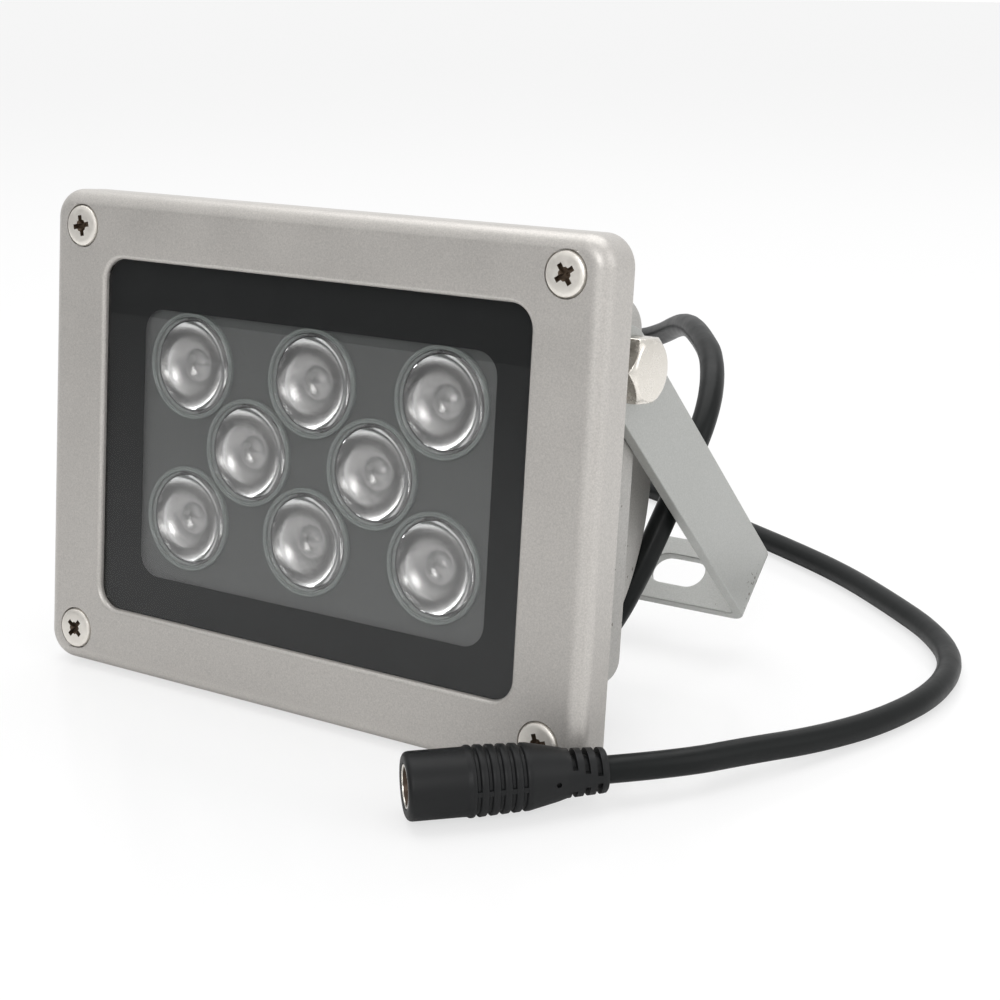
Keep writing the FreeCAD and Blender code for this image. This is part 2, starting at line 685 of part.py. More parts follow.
def bracket_bolts():
    """Two hexagon bolts, one through each leg into the housing's side."""
    bolts = []
    for side in (-1, 1):
        outer = HEAD_INNER + BOLT_HEAD_HEIGHT
        head = hexagon(BOLT_HEAD_FLATS, BOLT_HEAD_HEIGHT)
        corner = BOLT_HEAD_FLATS / 2 / math.cos(math.radians(30))
        flat_radius = BOLT_HEAD_FLATS / 2 * 0.95
        chamfer = (corner - flat_radius) * math.tan(math.radians(30))
        body = Part.makeCylinder(corner, BOLT_HEAD_HEIGHT - chamfer)
        cone = Part.makeCone(
            corner, flat_radius, chamfer, Vector(0, 0, BOLT_HEAD_HEIGHT - chamfer), Vector(0, 0, 1)
        )
        head = head.common(body.fuse(cone))
        shank = Part.makeCylinder(BOLT_RADIUS, BOLT_LENGTH, Vector(0, 0, -BOLT_LENGTH))
        bolt = head.fuse(shank).removeSplitter()
        bolt.rotate(Vector(0, 0, 0), Vector(0, 0, 1), 90)
        bolt.rotate(Vector(0, 0, 0), Vector(0, 1, 0), side * 90)
        bolt.rotate(Vector(0, 0, 0), Vector(1, 0, 0), 90)
        bolt.translate(Vector(side * (outer - BOLT_HEAD_HEIGHT), BOLT_Y, BOLT_Z))
        bolts.append(bolt)
    return Part.makeCompound(bolts)


def along_gland(shape):
    """Turns a shape drawn along Z so that it runs backwards from the gland boss."""
    shape.rotate(Vector(0, 0, 0), Vector(1, 0, 0), -90)
    shape.translate(Vector(GLAND_X, GLAND_BOSS_BACK, GLAND_Z))
    return shape


def gland_body():
    """Gland body: hexagon on the boss, thread into the housing, stud for the cap, bore for the cord."""
    body = hexagon(GLAND_FLATS, GLAND_HEX_HEIGHT)
    body = body.fuse(
        Part.makeCylinder(GLAND_STUD_RADIUS, GLAND_THREAD_LENGTH, Vector(0, 0, -GLAND_THREAD_LENGTH))
    )
    stud_height = GLAND_HEX_HEIGHT + GLAND_STUD_HEIGHT
    body = body.fuse(Part.makeCylinder(GLAND_STUD_RADIUS, stud_height))
    bore_length = GLAND_THREAD_LENGTH + stud_height + 2
    bore = Part.makeCylinder(GLAND_BORE, bore_length, Vector(0, 0, -GLAND_THREAD_LENGTH - 1))
    return along_gland(body.cut(bore).removeSplitter())


def gland_seal():
    """Rubber seal ring that the cap squeezes onto the cord."""
    wide = GLAND_STUD_RADIUS - 1.0
    seal = turned([
        (GLAND_BORE, GLAND_SEAL_FRONT),
        (wide, GLAND_SEAL_FRONT),
        (wide, GLAND_SEAL_FRONT + 1.0),
        (GLAND_BORE + 0.8, GLAND_SEAL_FRONT + GLAND_SEAL_HEIGHT),
        (GLAND_BORE, GLAND_SEAL_FRONT + GLAND_SEAL_HEIGHT),
    ], GLAND_X, GLAND_Z)
    return seal


def gland_cap():
    """Domed cap nut of the gland, with six grip flats, over the stud and the seal."""
    start = GLAND_BACK - GLAND_CAP_LENGTH + JOINT_GAP
    stud_end = GLAND_SEAL_FRONT
    inner = GLAND_STUD_RADIUS + JOINT_GAP
    seal_room = GLAND_STUD_RADIUS - 1.0 + JOINT_GAP
    grip_end = start + GLAND_CAP_LENGTH * 0.5
    seal_end = stud_end + GLAND_SEAL_HEIGHT
    cap = turned([
        (inner, start),
        (GLAND_CAP_RADIUS, start),
        (GLAND_CAP_RADIUS, grip_end),
        (GLAND_CAP_RADIUS - 0.6, grip_end + 2.2),
        (GLAND_MOUTH_RADIUS + 0.9, GLAND_BACK - 0.6),
        (GLAND_MOUTH_RADIUS, GLAND_BACK),
        (GLAND_BORE, GLAND_BACK),
        (GLAND_BORE, seal_end + JOINT_GAP),
        (GLAND_BORE + 0.8 + JOINT_GAP, seal_end + JOINT_GAP),
        (seal_room, stud_end + 1.0 + JOINT_GAP),
        (seal_room, stud_end + JOINT_GAP),
        (inner, stud_end + JOINT_GAP),
    ], GLAND_X, GLAND_Z)
    flats = hexagon(2 * GLAND_CAP_RADIUS * 0.94, GLAND_CAP_LENGTH)
    flats = along_gland(flats)
    flats.translate(Vector(0, start - GLAND_BOSS_BACK, 0))
    return cap.common(flats).removeSplitter()


def tube(points, radius):
    """A round tube along straight runs joined by tangent arcs, each as large as its runs allow."""
    edges = []
    start = points[0]
    for i in range(1, len(points) - 1):
        before, corner, after = points[i - 1], points[i], points[i + 1]
        into = (corner - before).normalize()
        out = (after - corner).normalize()
        turn = into.getAngle(out)
        reach = 0.45 * min((corner - before).Length, (after - corner).Length)
        arc_radius = reach / math.tan(turn / 2)
        arc_start = corner - into * reach
        arc_end = corner + out * reach
        inward = (out - into).normalize()
        middle = corner + inward * (arc_radius / math.cos(turn / 2) - arc_radius)
        edges.append(Part.LineSegment(start, arc_start).toShape())
        edges.append(Part.Arc(arc_start, middle, arc_end).toShape())
        start = arc_end
    edges.append(Part.LineSegment(start, points[-1]).toShape())
    path = Part.Wire(edges)
    heading = (points[1] - points[0]).normalize()
    section = Part.Wire(Part.makeCircle(radius, points[0], heading))
    return path.makePipeShell([section], True, False)


def bend_radii(points):
    """The arc radius at each inner point of a route."""
    radii = []
    for before, corner, after in zip(points, points[1:], points[2:]):
        turn = (corner - before).getAngle(after - corner)
        reach = 0.45 * min((corner - before).Length, (after - corner).Length)
        radii.append(reach / math.tan(turn / 2))
    return radii


def socket_place():
    """Where the socket lies: the middle of its face and the direction from there to the cord."""
    heading = math.radians(SOCKET_HEADING)
    dip = math.radians(SOCKET_DIP)
    direction = Vector(
        math.cos(heading) * math.cos(dip), math.sin(heading) * math.cos(dip), -math.sin(dip)
    )
    return Vector(*SOCKET_FACE), direction


def laid_socket(shape):
    """Moves a shape drawn along Z from the socket's face to where the socket lies."""
    face, direction = socket_place()
    shape.Placement = FreeCAD.Placement(face, FreeCAD.Rotation(Vector(0, 0, 1), direction))
    return shape


def turned_along_z(profile):
    """A solid turned about Z from (radius, z) points."""
    points = [Vector(radius, 0, z) for radius, z in profile]
    face = Part.Face(Part.makePolygon(points + points[:1]))
    return face.revolve(Vector(0, 0, 0), Vector(0, 0, 1), 360)


def jack_body():
    """Moulded cover: round head with a socket, ringed grip, taper, slotted relief and end flange."""
    grip_start = SOCKET_HEAD_LENGTH
    grip_end = grip_start + GRIP_LENGTH
    taper_end = grip_end + RELIEF_TAPER
    relief_end = taper_end + RELIEF_LENGTH
    profile = [
        (0, 0),
        (SOCKET_RADIUS - 0.6, 0),
        (SOCKET_RADIUS, 0.6),
        (SOCKET_RADIUS, grip_start - 0.4),
        (GRIP_RADIUS, grip_start),
    ]
    pitch = GRIP_LENGTH / GRIP_RINGS
    for i in range(1, GRIP_RINGS):
        groove = grip_start + i * pitch
        profile += [
            (GRIP_RADIUS, groove - 0.3),
            (GRIP_RADIUS - RING_GROOVE, groove - 0.2),
            (GRIP_RADIUS - RING_GROOVE, groove + 0.2),
            (GRIP_RADIUS, groove + 0.3),
        ]
    profile += [
        (GRIP_RADIUS, grip_end),
        (RELIEF_RADIUS + 0.4, taper_end),
        (RELIEF_RADIUS, taper_end + 0.3),
        (RELIEF_RADIUS - 0.2, relief_end),
        (RELIEF_RADIUS + 0.1, relief_end + 0.2),
        (RELIEF_RADIUS, SOCKET_LENGTH),
        (0, SOCKET_LENGTH),
    ]
    body = turned_along_z(profile)
    body = body.cut(Part.makeCylinder(SLEEVE_RADIUS, SLEEVE_DEPTH + INSULATOR_LENGTH))
    slot_pitch = RELIEF_LENGTH / 3
    for row in range(3):
        middle = taper_end + (row + 0.5) * slot_pitch
        for side in (0, 180):
            slot = Part.makeBox(
                2 * RELIEF_RADIUS,
                RELIEF_RADIUS,
                RELIEF_SLOT,
                Vector(-RELIEF_RADIUS, RELIEF_CORE_RADIUS, middle - RELIEF_SLOT / 2),
            )
            slot.rotate(Vector(0, 0, 0), Vector(0, 0, 1), side + 90 * (row % 2))
            body = body.cut(slot)
    return laid_socket(body.removeSplitter())


def jack_sleeve():
    """Metal sleeve that lines the socket."""
    sleeve = Part.makeCylinder(SLEEVE_RADIUS, SLEEVE_DEPTH)
    bore = Part.makeCylinder(SLEEVE_RADIUS - SLEEVE_WALL, SLEEVE_DEPTH + 2, Vector(0, 0, -1))
    return laid_socket(sleeve.cut(bore))


def jack_insulator():
    """Insulating disc at the bottom of the socket, which holds the pin."""
    disc = Part.makeCylinder(SLEEVE_RADIUS, INSULATOR_LENGTH, Vector(0, 0, SLEEVE_DEPTH))
    hole = Part.makeCylinder(PIN_RADIUS, INSULATOR_LENGTH + 2, Vector(0, 0, SLEEVE_DEPTH - 1))
    return laid_socket(disc.cut(hole))


def jack_pin():
    """Centre pin of the socket, with a rounded tip just inside its face."""
    length = SLEEVE_DEPTH + INSULATOR_LENGTH - PIN_RECESS
    pin = Part.makeCylinder(PIN_RADIUS, length, Vector(0, 0, PIN_RECESS))
    tip = [edge for edge in pin.Edges if abs(edge.BoundBox.ZMax - PIN_RECESS) < 1e-3]
    return laid_socket(pin.makeFillet(PIN_RADIUS * 0.6, tip[:1]))


def lamp_pieces():
    """Every piece of the lamp itself, in the lamp's own square axes."""
    pieces = {
        "front_frame": front_frame(),
        "frame_screws": frame_screws(),
        "front_glass": front_glass(),
        "sealing_gasket": sealing_gasket(),
        "rear_housing": rear_housing(),
        "lens_plate": lens_plate(),
        "led_board": led_board(),
        "driver_board": driver_board(),
        "board_screws": board_screws(),
        "board_leads": board_leads(),
        "supply_leads": supply_leads(),
        "inductor": inductor(),
        "capacitor": capacitor(),
        "bracket": bracket(),
        "bracket_bolts": bracket_bolts(),
        "gland_body": gland_body(),
        "gland_seal": gland_seal(),
        "gland_cap": gland_cap(),
    }
    for number, (x, z) in enumerate(LENS_PLACES, start=1):
        pieces[f"lens_{number}"] = lens(x, z)
        pieces[f"lens_holder_{number}"] = lens_holder(x, z)
        pieces[f"led_{number}"] = led(x, z)
    return pieces


def stand_up(pieces):
    """Leans every piece back and puts the lamp's bottom centre at the origin."""
    for shape in pieces.values():
        shape.rotate(Vector(0, 0, 0), Vector(1, 0, 0), -LEAN_ANGLE)
    bounds = Part.makeCompound(list(pieces.values())).optimalBoundingBox(True, False)
    shift = Vector(0, -(bounds.YMin + bounds.YMax) / 2, -bounds.ZMin)
    for shape in pieces.values():
        shape.translate(shift)
    return shift


def standing_point(point, shift):
    """A point of the lamp's square axes, where it is once the lamp stands."""
    lean = FreeCAD.Rotation(Vector(1, 0, 0), -LEAN_ANGLE)
    return lean.multVec(point) + shift


pieces = lamp_pieces()
shift = stand_up(pieces)
cord_start = standing_point(Vector(GLAND_X, GLAND_SEAL_FRONT, GLAND_Z), shift)
face, direction = socket_place()
cord_end = face + direction * SOCKET_LENGTH
route = [cord_start] + [Vector(*point) for point in CORD_ROUTE] + [cord_end]
pieces["power_cord"] = tube(route, CORD_DIAMETER / 2)
pieces["jack_body"] = jack_body()
pieces["jack_sleeve"] = jack_sleeve()
pieces["jack_insulator"] = jack_insulator()
pieces["jack_pin"] = jack_pin()

os.makedirs("parts", exist_ok=True)
for name, shape in pieces.items():
    shape.exportStep(os.path.join("parts", name + ".step"))

cord_section = math.pi * CORD_DIAMETER ** 2 / 4
print("cord radii", [round(radius, 1) for radius in bend_radii(route)])
print("cord length", round(pieces["power_cord"].Volume / cord_section, 1))
print("cord start", cord_start, "cord end", cord_end)
print("gland mouth", standing_point(Vector(GLAND_X, GLAND_BACK, GLAND_Z), shift))
print("bolt axis", standing_point(Vector(0, BOLT_Y, BOLT_Z), shift))
print("shift", shift)
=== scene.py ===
import math

import bmesh
import bpy
from mathutils import Matrix, Vector


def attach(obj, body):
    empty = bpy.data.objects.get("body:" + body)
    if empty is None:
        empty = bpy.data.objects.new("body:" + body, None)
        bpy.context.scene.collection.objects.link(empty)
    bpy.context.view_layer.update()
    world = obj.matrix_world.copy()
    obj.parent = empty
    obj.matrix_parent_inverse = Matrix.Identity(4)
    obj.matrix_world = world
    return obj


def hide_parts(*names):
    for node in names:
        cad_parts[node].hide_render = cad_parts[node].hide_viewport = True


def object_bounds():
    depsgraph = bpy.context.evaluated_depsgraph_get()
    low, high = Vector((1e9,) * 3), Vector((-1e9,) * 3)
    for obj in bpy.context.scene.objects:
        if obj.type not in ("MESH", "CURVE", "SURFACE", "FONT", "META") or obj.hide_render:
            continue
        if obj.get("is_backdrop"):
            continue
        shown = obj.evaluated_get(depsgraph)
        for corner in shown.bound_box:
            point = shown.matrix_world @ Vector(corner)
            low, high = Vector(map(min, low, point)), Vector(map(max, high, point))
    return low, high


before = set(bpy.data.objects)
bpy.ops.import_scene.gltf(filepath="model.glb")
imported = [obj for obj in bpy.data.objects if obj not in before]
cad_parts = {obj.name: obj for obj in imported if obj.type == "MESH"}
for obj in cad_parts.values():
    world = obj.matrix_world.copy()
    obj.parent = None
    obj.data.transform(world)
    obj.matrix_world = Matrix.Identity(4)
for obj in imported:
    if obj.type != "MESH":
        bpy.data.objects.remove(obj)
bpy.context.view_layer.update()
bpy.ops.object.select_all(action="DESELECT")

MM = 0.001


# Studio
# The lamp stands on a white glossy table in soft light from above, from the right and from the
# front, as small goods are photographed. The camera has a long lens and looks a little down.

camera_data = bpy.data.cameras.new("studio_camera")
camera_data.sensor_width = 36.0
camera_data.lens = 72.04
camera_data.clip_start = 0.01
camera_data.clip_end = 50.0
camera = bpy.data.objects.new("studio_camera", camera_data)
camera.location = (0.2059, -0.2746, 0.1276)
camera.rotation_euler = [math.radians(angle) for angle in (74.028, 0.595, 34.181)]
bpy.context.scene.collection.objects.link(camera)
bpy.context.scene.camera = camera
bpy.context.scene.view_settings.view_transform = "Standard"


def linear(hex_colour):
    """An sRGB hex colour as linear RGBA."""
    parts = [int(hex_colour[i:i + 2], 16) / 255 for i in (1, 3, 5)]
    return tuple(c / 12.92 if c <= 0.04045 else ((c + 0.055) / 1.055) ** 2.4 for c in parts) + (1.0,)


def add_node(tree, kind, sockets=(), **settings):
    """Adds a node with its settings, and gives each named socket a value or a link."""
    node = tree.nodes.new(kind)
    for name, value in settings.items():
        setattr(node, name, value)
    for name, value in dict(sockets).items():
        if isinstance(value, bpy.types.NodeSocket):
            tree.links.new(value, node.inputs[name])
        else:
            node.inputs[name].default_value = value
    return node


def new_material(name, **values):
    """A material with a principled shader and the given shader values, its tree and its shader."""
    material = bpy.data.materials.new(name)
    material.use_nodes = True
    shader = material.node_tree.nodes["Principled BSDF"]
    for socket, value in values.items():
        shader.inputs[socket.replace("_", " ")].default_value = value
    return material, material.node_tree, shader


def soft_light(name, place, target, size, power):
    """A square softbox at a place, turned to a target."""
    data = bpy.data.lights.new(name, "AREA")
    data.size = size
    data.energy = power
    light = bpy.data.objects.new(name, data)
    light.location = place
    light.rotation_euler = (Vector(target) - Vector(place)).to_track_quat("-Z", "Y").to_euler()
    bpy.context.scene.collection.objects.link(light)


LAMP_MIDDLE = (0, 0, 0.04)
soft_light("top_softbox", (-0.1, 0.2, 0.85), LAMP_MIDDLE, 0.9, 5.0)
soft_light("right_softbox", (0.9, 0.05, 0.45), LAMP_MIDDLE, 0.7, 1.7)
soft_light("front_fill", (0.4, -1.0, 0.6), LAMP_MIDDLE, 0.5, 4.0)

# The backdrop is white. Off the picture the room is dimmer on the side that the window glass
# mirrors towards the camera, so the black border and the dark plate stay dark.
world = bpy.data.worlds.new("studio_air")
world.use_nodes = True
bpy.context.scene.world = world
air = world.node_tree
air.nodes.clear()
rays = add_node(air, "ShaderNodeLightPath")
direction = add_node(air, "ShaderNodeTexCoord")
DIM_SIDE = (-0.54, -0.84, 0.0)
ROOM_WHITE, ROOM_DIM = "#EEEEEE", "#8A8B8C"
toward = add_node(
    air, "ShaderNodeVectorMath", {0: direction.outputs["Generated"], 1: DIM_SIDE},
    operation="DOT_PRODUCT",
)
side = add_node(
    air, "ShaderNodeMapRange",
    {"Value": toward.outputs["Value"], "From Min": 0.35, "From Max": 0.9, "To Min": 0.0, "To Max": 1.0},
    interpolation_type="SMOOTHSTEP",
)
height = add_node(air, "ShaderNodeSeparateXYZ", {"Vector": direction.outputs["Generated"]})
low = add_node(
    air, "ShaderNodeMapRange",
    {"Value": height.outputs["Z"], "From Min": 0.1, "From Max": 0.6, "To Min": 1.0, "To Max": 0.0},
    interpolation_type="SMOOTHSTEP",
)
dimness = add_node(
    air, "ShaderNodeMath", {0: side.outputs["Result"], 1: low.outputs["Result"]}, operation="MULTIPLY"
)
tone = add_node(
    air, "ShaderNodeMix",
    {0: dimness.outputs[0], 6: linear(ROOM_WHITE), 7: linear(ROOM_DIM)},
    data_type="RGBA",
)
mirrored = add_node(
    air, "ShaderNodeMath",
    {0: rays.outputs["Is Glossy Ray"], 1: rays.outputs["Is Transmission Ray"]}, operation="MAXIMUM",
)
glare = add_node(
    air, "ShaderNodeMath", {0: mirrored.outputs[0], 1: 0.3, 2: 0.7}, operation="MULTIPLY_ADD"
)
room = add_node(air, "ShaderNodeBackground", {"Color": tone.outputs[2], "Strength": glare.outputs[0]})
backdrop = add_node(air, "ShaderNodeBackground", {"Color": (1, 1, 1, 1), "Strength": 1.0})
seen = add_node(
    air, "ShaderNodeMixShader",
    {0: rays.outputs["Is Camera Ray"], 1: room.outputs[0], 2: backdrop.outputs[0]},
)
add_node(air, "ShaderNodeOutputWorld", {"Surface": seen.outputs[0]})

bpy.ops.mesh.primitive_plane_add(size=6.0, location=(0, 0, 0))
table = bpy.context.object
table.name = "studio_table"

# White acrylic: glossy enough for soft reflections, with a white glow for camera and transmission rays so
# that it stays white.
GLOW_SHARE = 0.66
table_white, tree, shader = new_material("white_acrylic_table", Roughness=0.16)
shader.inputs["Base Color"].default_value = linear("#FAFAFA")
rays = add_node(tree, "ShaderNodeLightPath")
glow = add_node(tree, "ShaderNodeEmission", {"Color": (1, 1, 1, 1), "Strength": 1.0})
clear_rays = add_node(
    tree, "ShaderNodeMath",
    {0: rays.outputs["Is Camera Ray"], 1: rays.outputs["Is Transmission Ray"]},
    operation="MAXIMUM",
)
glow_share = add_node(
    tree, "ShaderNodeMath", {0: clear_rays.outputs[0], 1: GLOW_SHARE}, operation="MULTIPLY"
)
surface = add_node(
    tree, "ShaderNodeMixShader",
    {0: glow_share.outputs[0], 1: shader.outputs[0], 2: glow.outputs[0]},
)
tree.links.new(surface.outputs[0], tree.nodes["Material Output"].inputs["Surface"])
table.data.materials.append(table_white)
table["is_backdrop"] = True


# Supply cord
# A round two-core cord of 4.3 mm in a soft black PVC jacket, as extruded, with a satin sheen.
# It leaves the gland, loops through the bracket, and lies round the lamp to its socket.

CORD_DIAMETER = 4.3 * MM
CORD_ROUTE = [
    (-25.74, 17.87, 51.02),
    (-25.74, 32.0, 49.38),
    (-27.2, 43.0, 48.6),
    (-30.0, 54.0, 48.0),
    (-28.5, 65.5, 47.0),
    (-21.5, 75.0, 45.8),
    (-10.5, 79.5, 44.8),
    (1.0, 77.0, 45.4),
    (10.5, 70.0, 49.0),
    (18.5, 61.8, 52.9),
    (25.9, 53.0, 55.1),
    (32.8, 44.4, 55.2),
    (41.0, 34.2, 53.8),
    (46.4, 23.4, 48.0),
    (46.9, 14.4, 39.3),
    (45.6, 8.6, 30.8),
    (43.6, 4.2, 22.4),
    (41.0, 0.0, 14.4),
    (36.6, -4.4, 7.2),
    (30.0, -9.4, 2.15),
    (20.0, -14.2, 2.15),
    (6.0, -17.8, 2.15),
    (-12.0, -20.6, 2.15),
    (-35.0, -21.6, 2.15),
    (-56.0, -19.4, 2.15),
    (-71.5, -9.5, 2.15),
    (-80.0, 9.5, 2.15),
    (-82.0, 31.5, 2.15),
    (-81.5, 54.0, 2.15),
    (-76.0, 76.5, 2.15),
    (-66.0, 96.0, 2.15),
    (-50.0, 111.5, 2.15),
    (-30.5, 118.0, 2.15),
    (-9.5, 110.8, 2.15),
    (12.0, 98.0, 2.15),
    (31.0, 88.4, 2.15),
    (47.5, 79.0, 2.15),
    (62.5, 67.6, 2.15),
    (76.0, 56.2, 2.15),
    (85.0, 43.5, 2.15),
    (88.0, 28.0, 2.15),
    (85.6, 12.0, 2.2),
    (80.6, -2.5, 2.9),
    (74.6, -15.5, 4.2),
    (69.74, -27.41, 5.33),
    (61.42, -36.05, 5.48),
]

cord_curve = bpy.data.curves.new("power_cord_curve", "CURVE")
cord_curve.dimensions = "3D"
cord_curve.bevel_depth = CORD_DIAMETER / 2
cord_curve.bevel_resolution = 7
cord_curve.resolution_u = 14
cord_curve.use_fill_caps = True
line = cord_curve.splines.new("NURBS")
line.points.add(len(CORD_ROUTE) - 1)
for point, place in zip(line.points, CORD_ROUTE):
    point.co = [value * MM for value in place] + [1.0]
line.order_u = 3
line.use_endpoint_u = True
cord = bpy.data.objects.new("cord_jacket", cord_curve)
bpy.context.scene.collection.objects.link(cord)


def grained(name, dark, light, grain, roughness, depth, **values):
    """A finish with a fine grain in millimetres: its tone, gloss and height change together."""
    material, tree, shader = new_material(name, **values)
    place = add_node(tree, "ShaderNodeTexCoord")
    noise = add_node(
        tree, "ShaderNodeTexNoise",
        {"Vector": place.outputs["Object"], "Scale": 1 / (grain * MM), "Detail": 3.0, "Roughness": 0.55},
    )
    tone = add_node(
        tree, "ShaderNodeMix", {0: noise.outputs["Fac"], 6: linear(dark), 7: linear(light)},
        data_type="RGBA",
    )
    gloss = add_node(
        tree, "ShaderNodeMapRange",
        {
            "Value": noise.outputs["Fac"], "From Min": 0.3, "From Max": 0.7,
            "To Min": roughness * 0.88, "To Max": roughness * 1.12,
        },
    )
    bump = add_node(
        tree, "ShaderNodeBump",
        {"Height": noise.outputs["Fac"], "Strength": 0.4, "Distance": depth * MM},
    )
    tree.links.new(tone.outputs[2], shader.inputs["Base Color"])
    tree.links.new(gloss.outputs["Result"], shader.inputs["Roughness"])
    tree.links.new(bump.outputs["Normal"], shader.inputs["Normal"])
    return material


# Extruded PVC: dark grey-black and satin, with the faint ripple of the cores under the jacket.
jacket = grained(
    "satin_pvc_jacket", "#0D0F0F", "#121515", 3.0, 0.38, 0.1, IOR=1.46, Specular_IOR_Level=0.21
)
cord.data.materials.append(jacket)
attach(cord, "lamp")
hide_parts("power_cord")


# Moulded socket
# The cord ends in an inline supply socket: a soft black PVC cover moulded over a metal sleeve,
# with a grooved grip, a taper and a slotted strain relief.

SOCKET_FACE = Vector((40.2, -58.1, 5.85)) * MM
SOCKET_HEADING = 46.1
SOCKET_DIP = 0.7
heading = math.radians(SOCKET_HEADING)
dip = math.radians(SOCKET_DIP)
socket_direction = Vector(
    (math.cos(heading) * math.cos(dip), math.sin(heading) * math.cos(dip), -math.sin(dip))
)
socket_turn = Vector((0, 0, 1)).rotation_difference(socket_direction)
socket_place = Matrix.Translation(SOCKET_FACE) @ socket_turn.to_matrix().to_4x4()


def turn_on_lathe(name, profile, steps=64):
    """A closed piece turned about Z from (radius, height) points in millimetres."""
    bpy.ops.mesh.primitive_plane_add(size=0.01)
    piece = bpy.context.object
    piece.name = name
    bpy.ops.object.mode_set(mode="EDIT")
    work = bmesh.from_edit_mesh(piece.data)
    for spare in list(work.verts)[1:]:
        work.verts.remove(spare)
    work.verts.ensure_lookup_table()
    work.verts[0].co = (profile[0][0] * MM, 0, profile[0][1] * MM)
    work.verts[0].select_set(True)
    bmesh.update_edit_mesh(piece.data)
    for (radius, height), (last_radius, last_height) in zip(profile[1:], profile):
        step = ((radius - last_radius) * MM, 0, (height - last_height) * MM)
        bpy.ops.mesh.extrude_region_move(TRANSFORM_OT_translate={"value": step})
    bpy.ops.mesh.select_all(action="SELECT")
    bpy.ops.mesh.spin(steps=steps, angle=2 * math.pi, center=(0, 0, 0), axis=(0, 0, 1))
    bpy.ops.mesh.select_all(action="SELECT")
    bpy.ops.mesh.remove_doubles(threshold=0.001 * MM)
    bpy.ops.mesh.normals_make_consistent(inside=False)
    bpy.ops.object.mode_set(mode="OBJECT")
    return piece


def pick(piece):
    """Makes a piece the only selected and active one."""
    bpy.ops.object.select_all(action="DESELECT")
    piece.select_set(True)
    bpy.context.view_layer.objects.active = piece


def smooth(piece, angle=35):
    """Smooth shading with sharp edges over an angle."""
    pick(piece)
    bpy.ops.object.shade_smooth_by_angle(angle=math.radians(angle))


def apply_modifiers(piece):
    """Applies the piece's modifiers in order."""
    pick(piece)
    for modifier in list(piece.modifiers):
        bpy.ops.object.modifier_apply(modifier=modifier.name)


def cut_away(piece, cutter, operation="DIFFERENCE"):
    """Cuts a piece with another, or joins them, and uses the other up."""
    bpy.context.view_layer.update()
    cut = piece.modifiers.new("cut", "BOOLEAN")
    cut.operation = operation
    cut.solver = "EXACT"
    cut.object = cutter
    apply_modifiers(piece)
    bpy.data.objects.remove(cutter)


def small_block(low_corner, high_corner, turn):
    """A block between two corners in millimetres, turned about the origin."""
    bpy.ops.mesh.primitive_cube_add(size=1.0)
    block = bpy.context.object
    low_end, high_end = Vector(low_corner) * MM, Vector(high_corner) * MM
    size = Matrix.Diagonal((*(high_end - low_end), 1))
    block.data.transform(turn @ Matrix.Translation((low_end + high_end) / 2) @ size)
    return block


def join_all(blocks):
    """One object from several."""
    bpy.ops.object.select_all(action="DESELECT")
    for block in blocks:
        block.select_set(True)
    bpy.context.view_layer.objects.active = blocks[0]
    bpy.ops.object.join()
    return blocks[0]


def finish_piece(piece, place, material, body, slot, *nodes):
    """Puts the piece's place into its mesh, gives its finish, and lets it ride for its CAD nodes."""
    piece.data.transform(place @ piece.matrix_world)
    piece.matrix_world = Matrix.Identity(4)
    piece.data.materials.clear()
    piece.data.materials.append(material)
    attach(piece, body)
    if nodes:
        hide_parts(*nodes)
    return piece


here = Matrix.Identity(4)
GRIP_START = 9.3
GRIP_LENGTH = 9.3
GROOVE_PITCH = 1.75
GROOVES = [GRIP_START + 1.15 + i * GROOVE_PITCH for i in range(5)]
SLEEVE_BORE, SLEEVE_RADIUS, SLEEVE_END = 2.95, 3.4, 9.6
PIN_RADIUS, BORE_END = 1.0, 12.6
CLEARANCE = 0.02
SIDE_SEAM = SOCKET_HEADING - 90


def grip_radius(depth):
    """The grip's radius, which narrows from 5.45 to 5.1 mm."""
    return 5.45 - 0.35 * (depth - GRIP_START) / GRIP_LENGTH


cover_profile = [(0, BORE_END), (3.41, BORE_END), (3.41, 0.3), (3.5, 0.08), (4.1, 0.0), (4.6, 0.05)]
cover_profile += [(4.92, 0.24), (5.12, 0.52), (5.2, 0.9), (5.2, 8.8), (5.24, 9.1), (5.42, 9.4), (5.45, 9.7)]
for groove in GROOVES:
    crest = grip_radius(groove)
    cover_profile += [(crest, groove - 0.46), (crest - 0.08, groove - 0.34), (crest - 0.4, groove - 0.2)]
    cover_profile += [(crest - 0.4, groove + 0.2), (crest - 0.08, groove + 0.34), (crest, groove + 0.46)]
cover_profile += [(5.1, 18.6), (4.98, 19.1), (4.15, 23.0), (3.9, 23.9), (3.75, 24.4)]
cover_profile += [(3.5, 29.9), (3.42, 30.4), (3.2, 30.6), (0, 30.6)]
cover = turn_on_lathe("socket_cover", cover_profile, 96)

# The mould's two halves meet along the sides, where a web crosses the grooves.
webs = []
for groove in GROOVES:
    for side in (0, 180):
        reach = grip_radius(groove) - 0.1
        turn = Matrix.Rotation(math.radians(SIDE_SEAM + side), 4, "Z")
        webs.append(small_block((4.0, -0.4, groove - 0.45), (reach, 0.4, groove + 0.45), turn))
cut_away(cover, join_all(webs), "UNION")

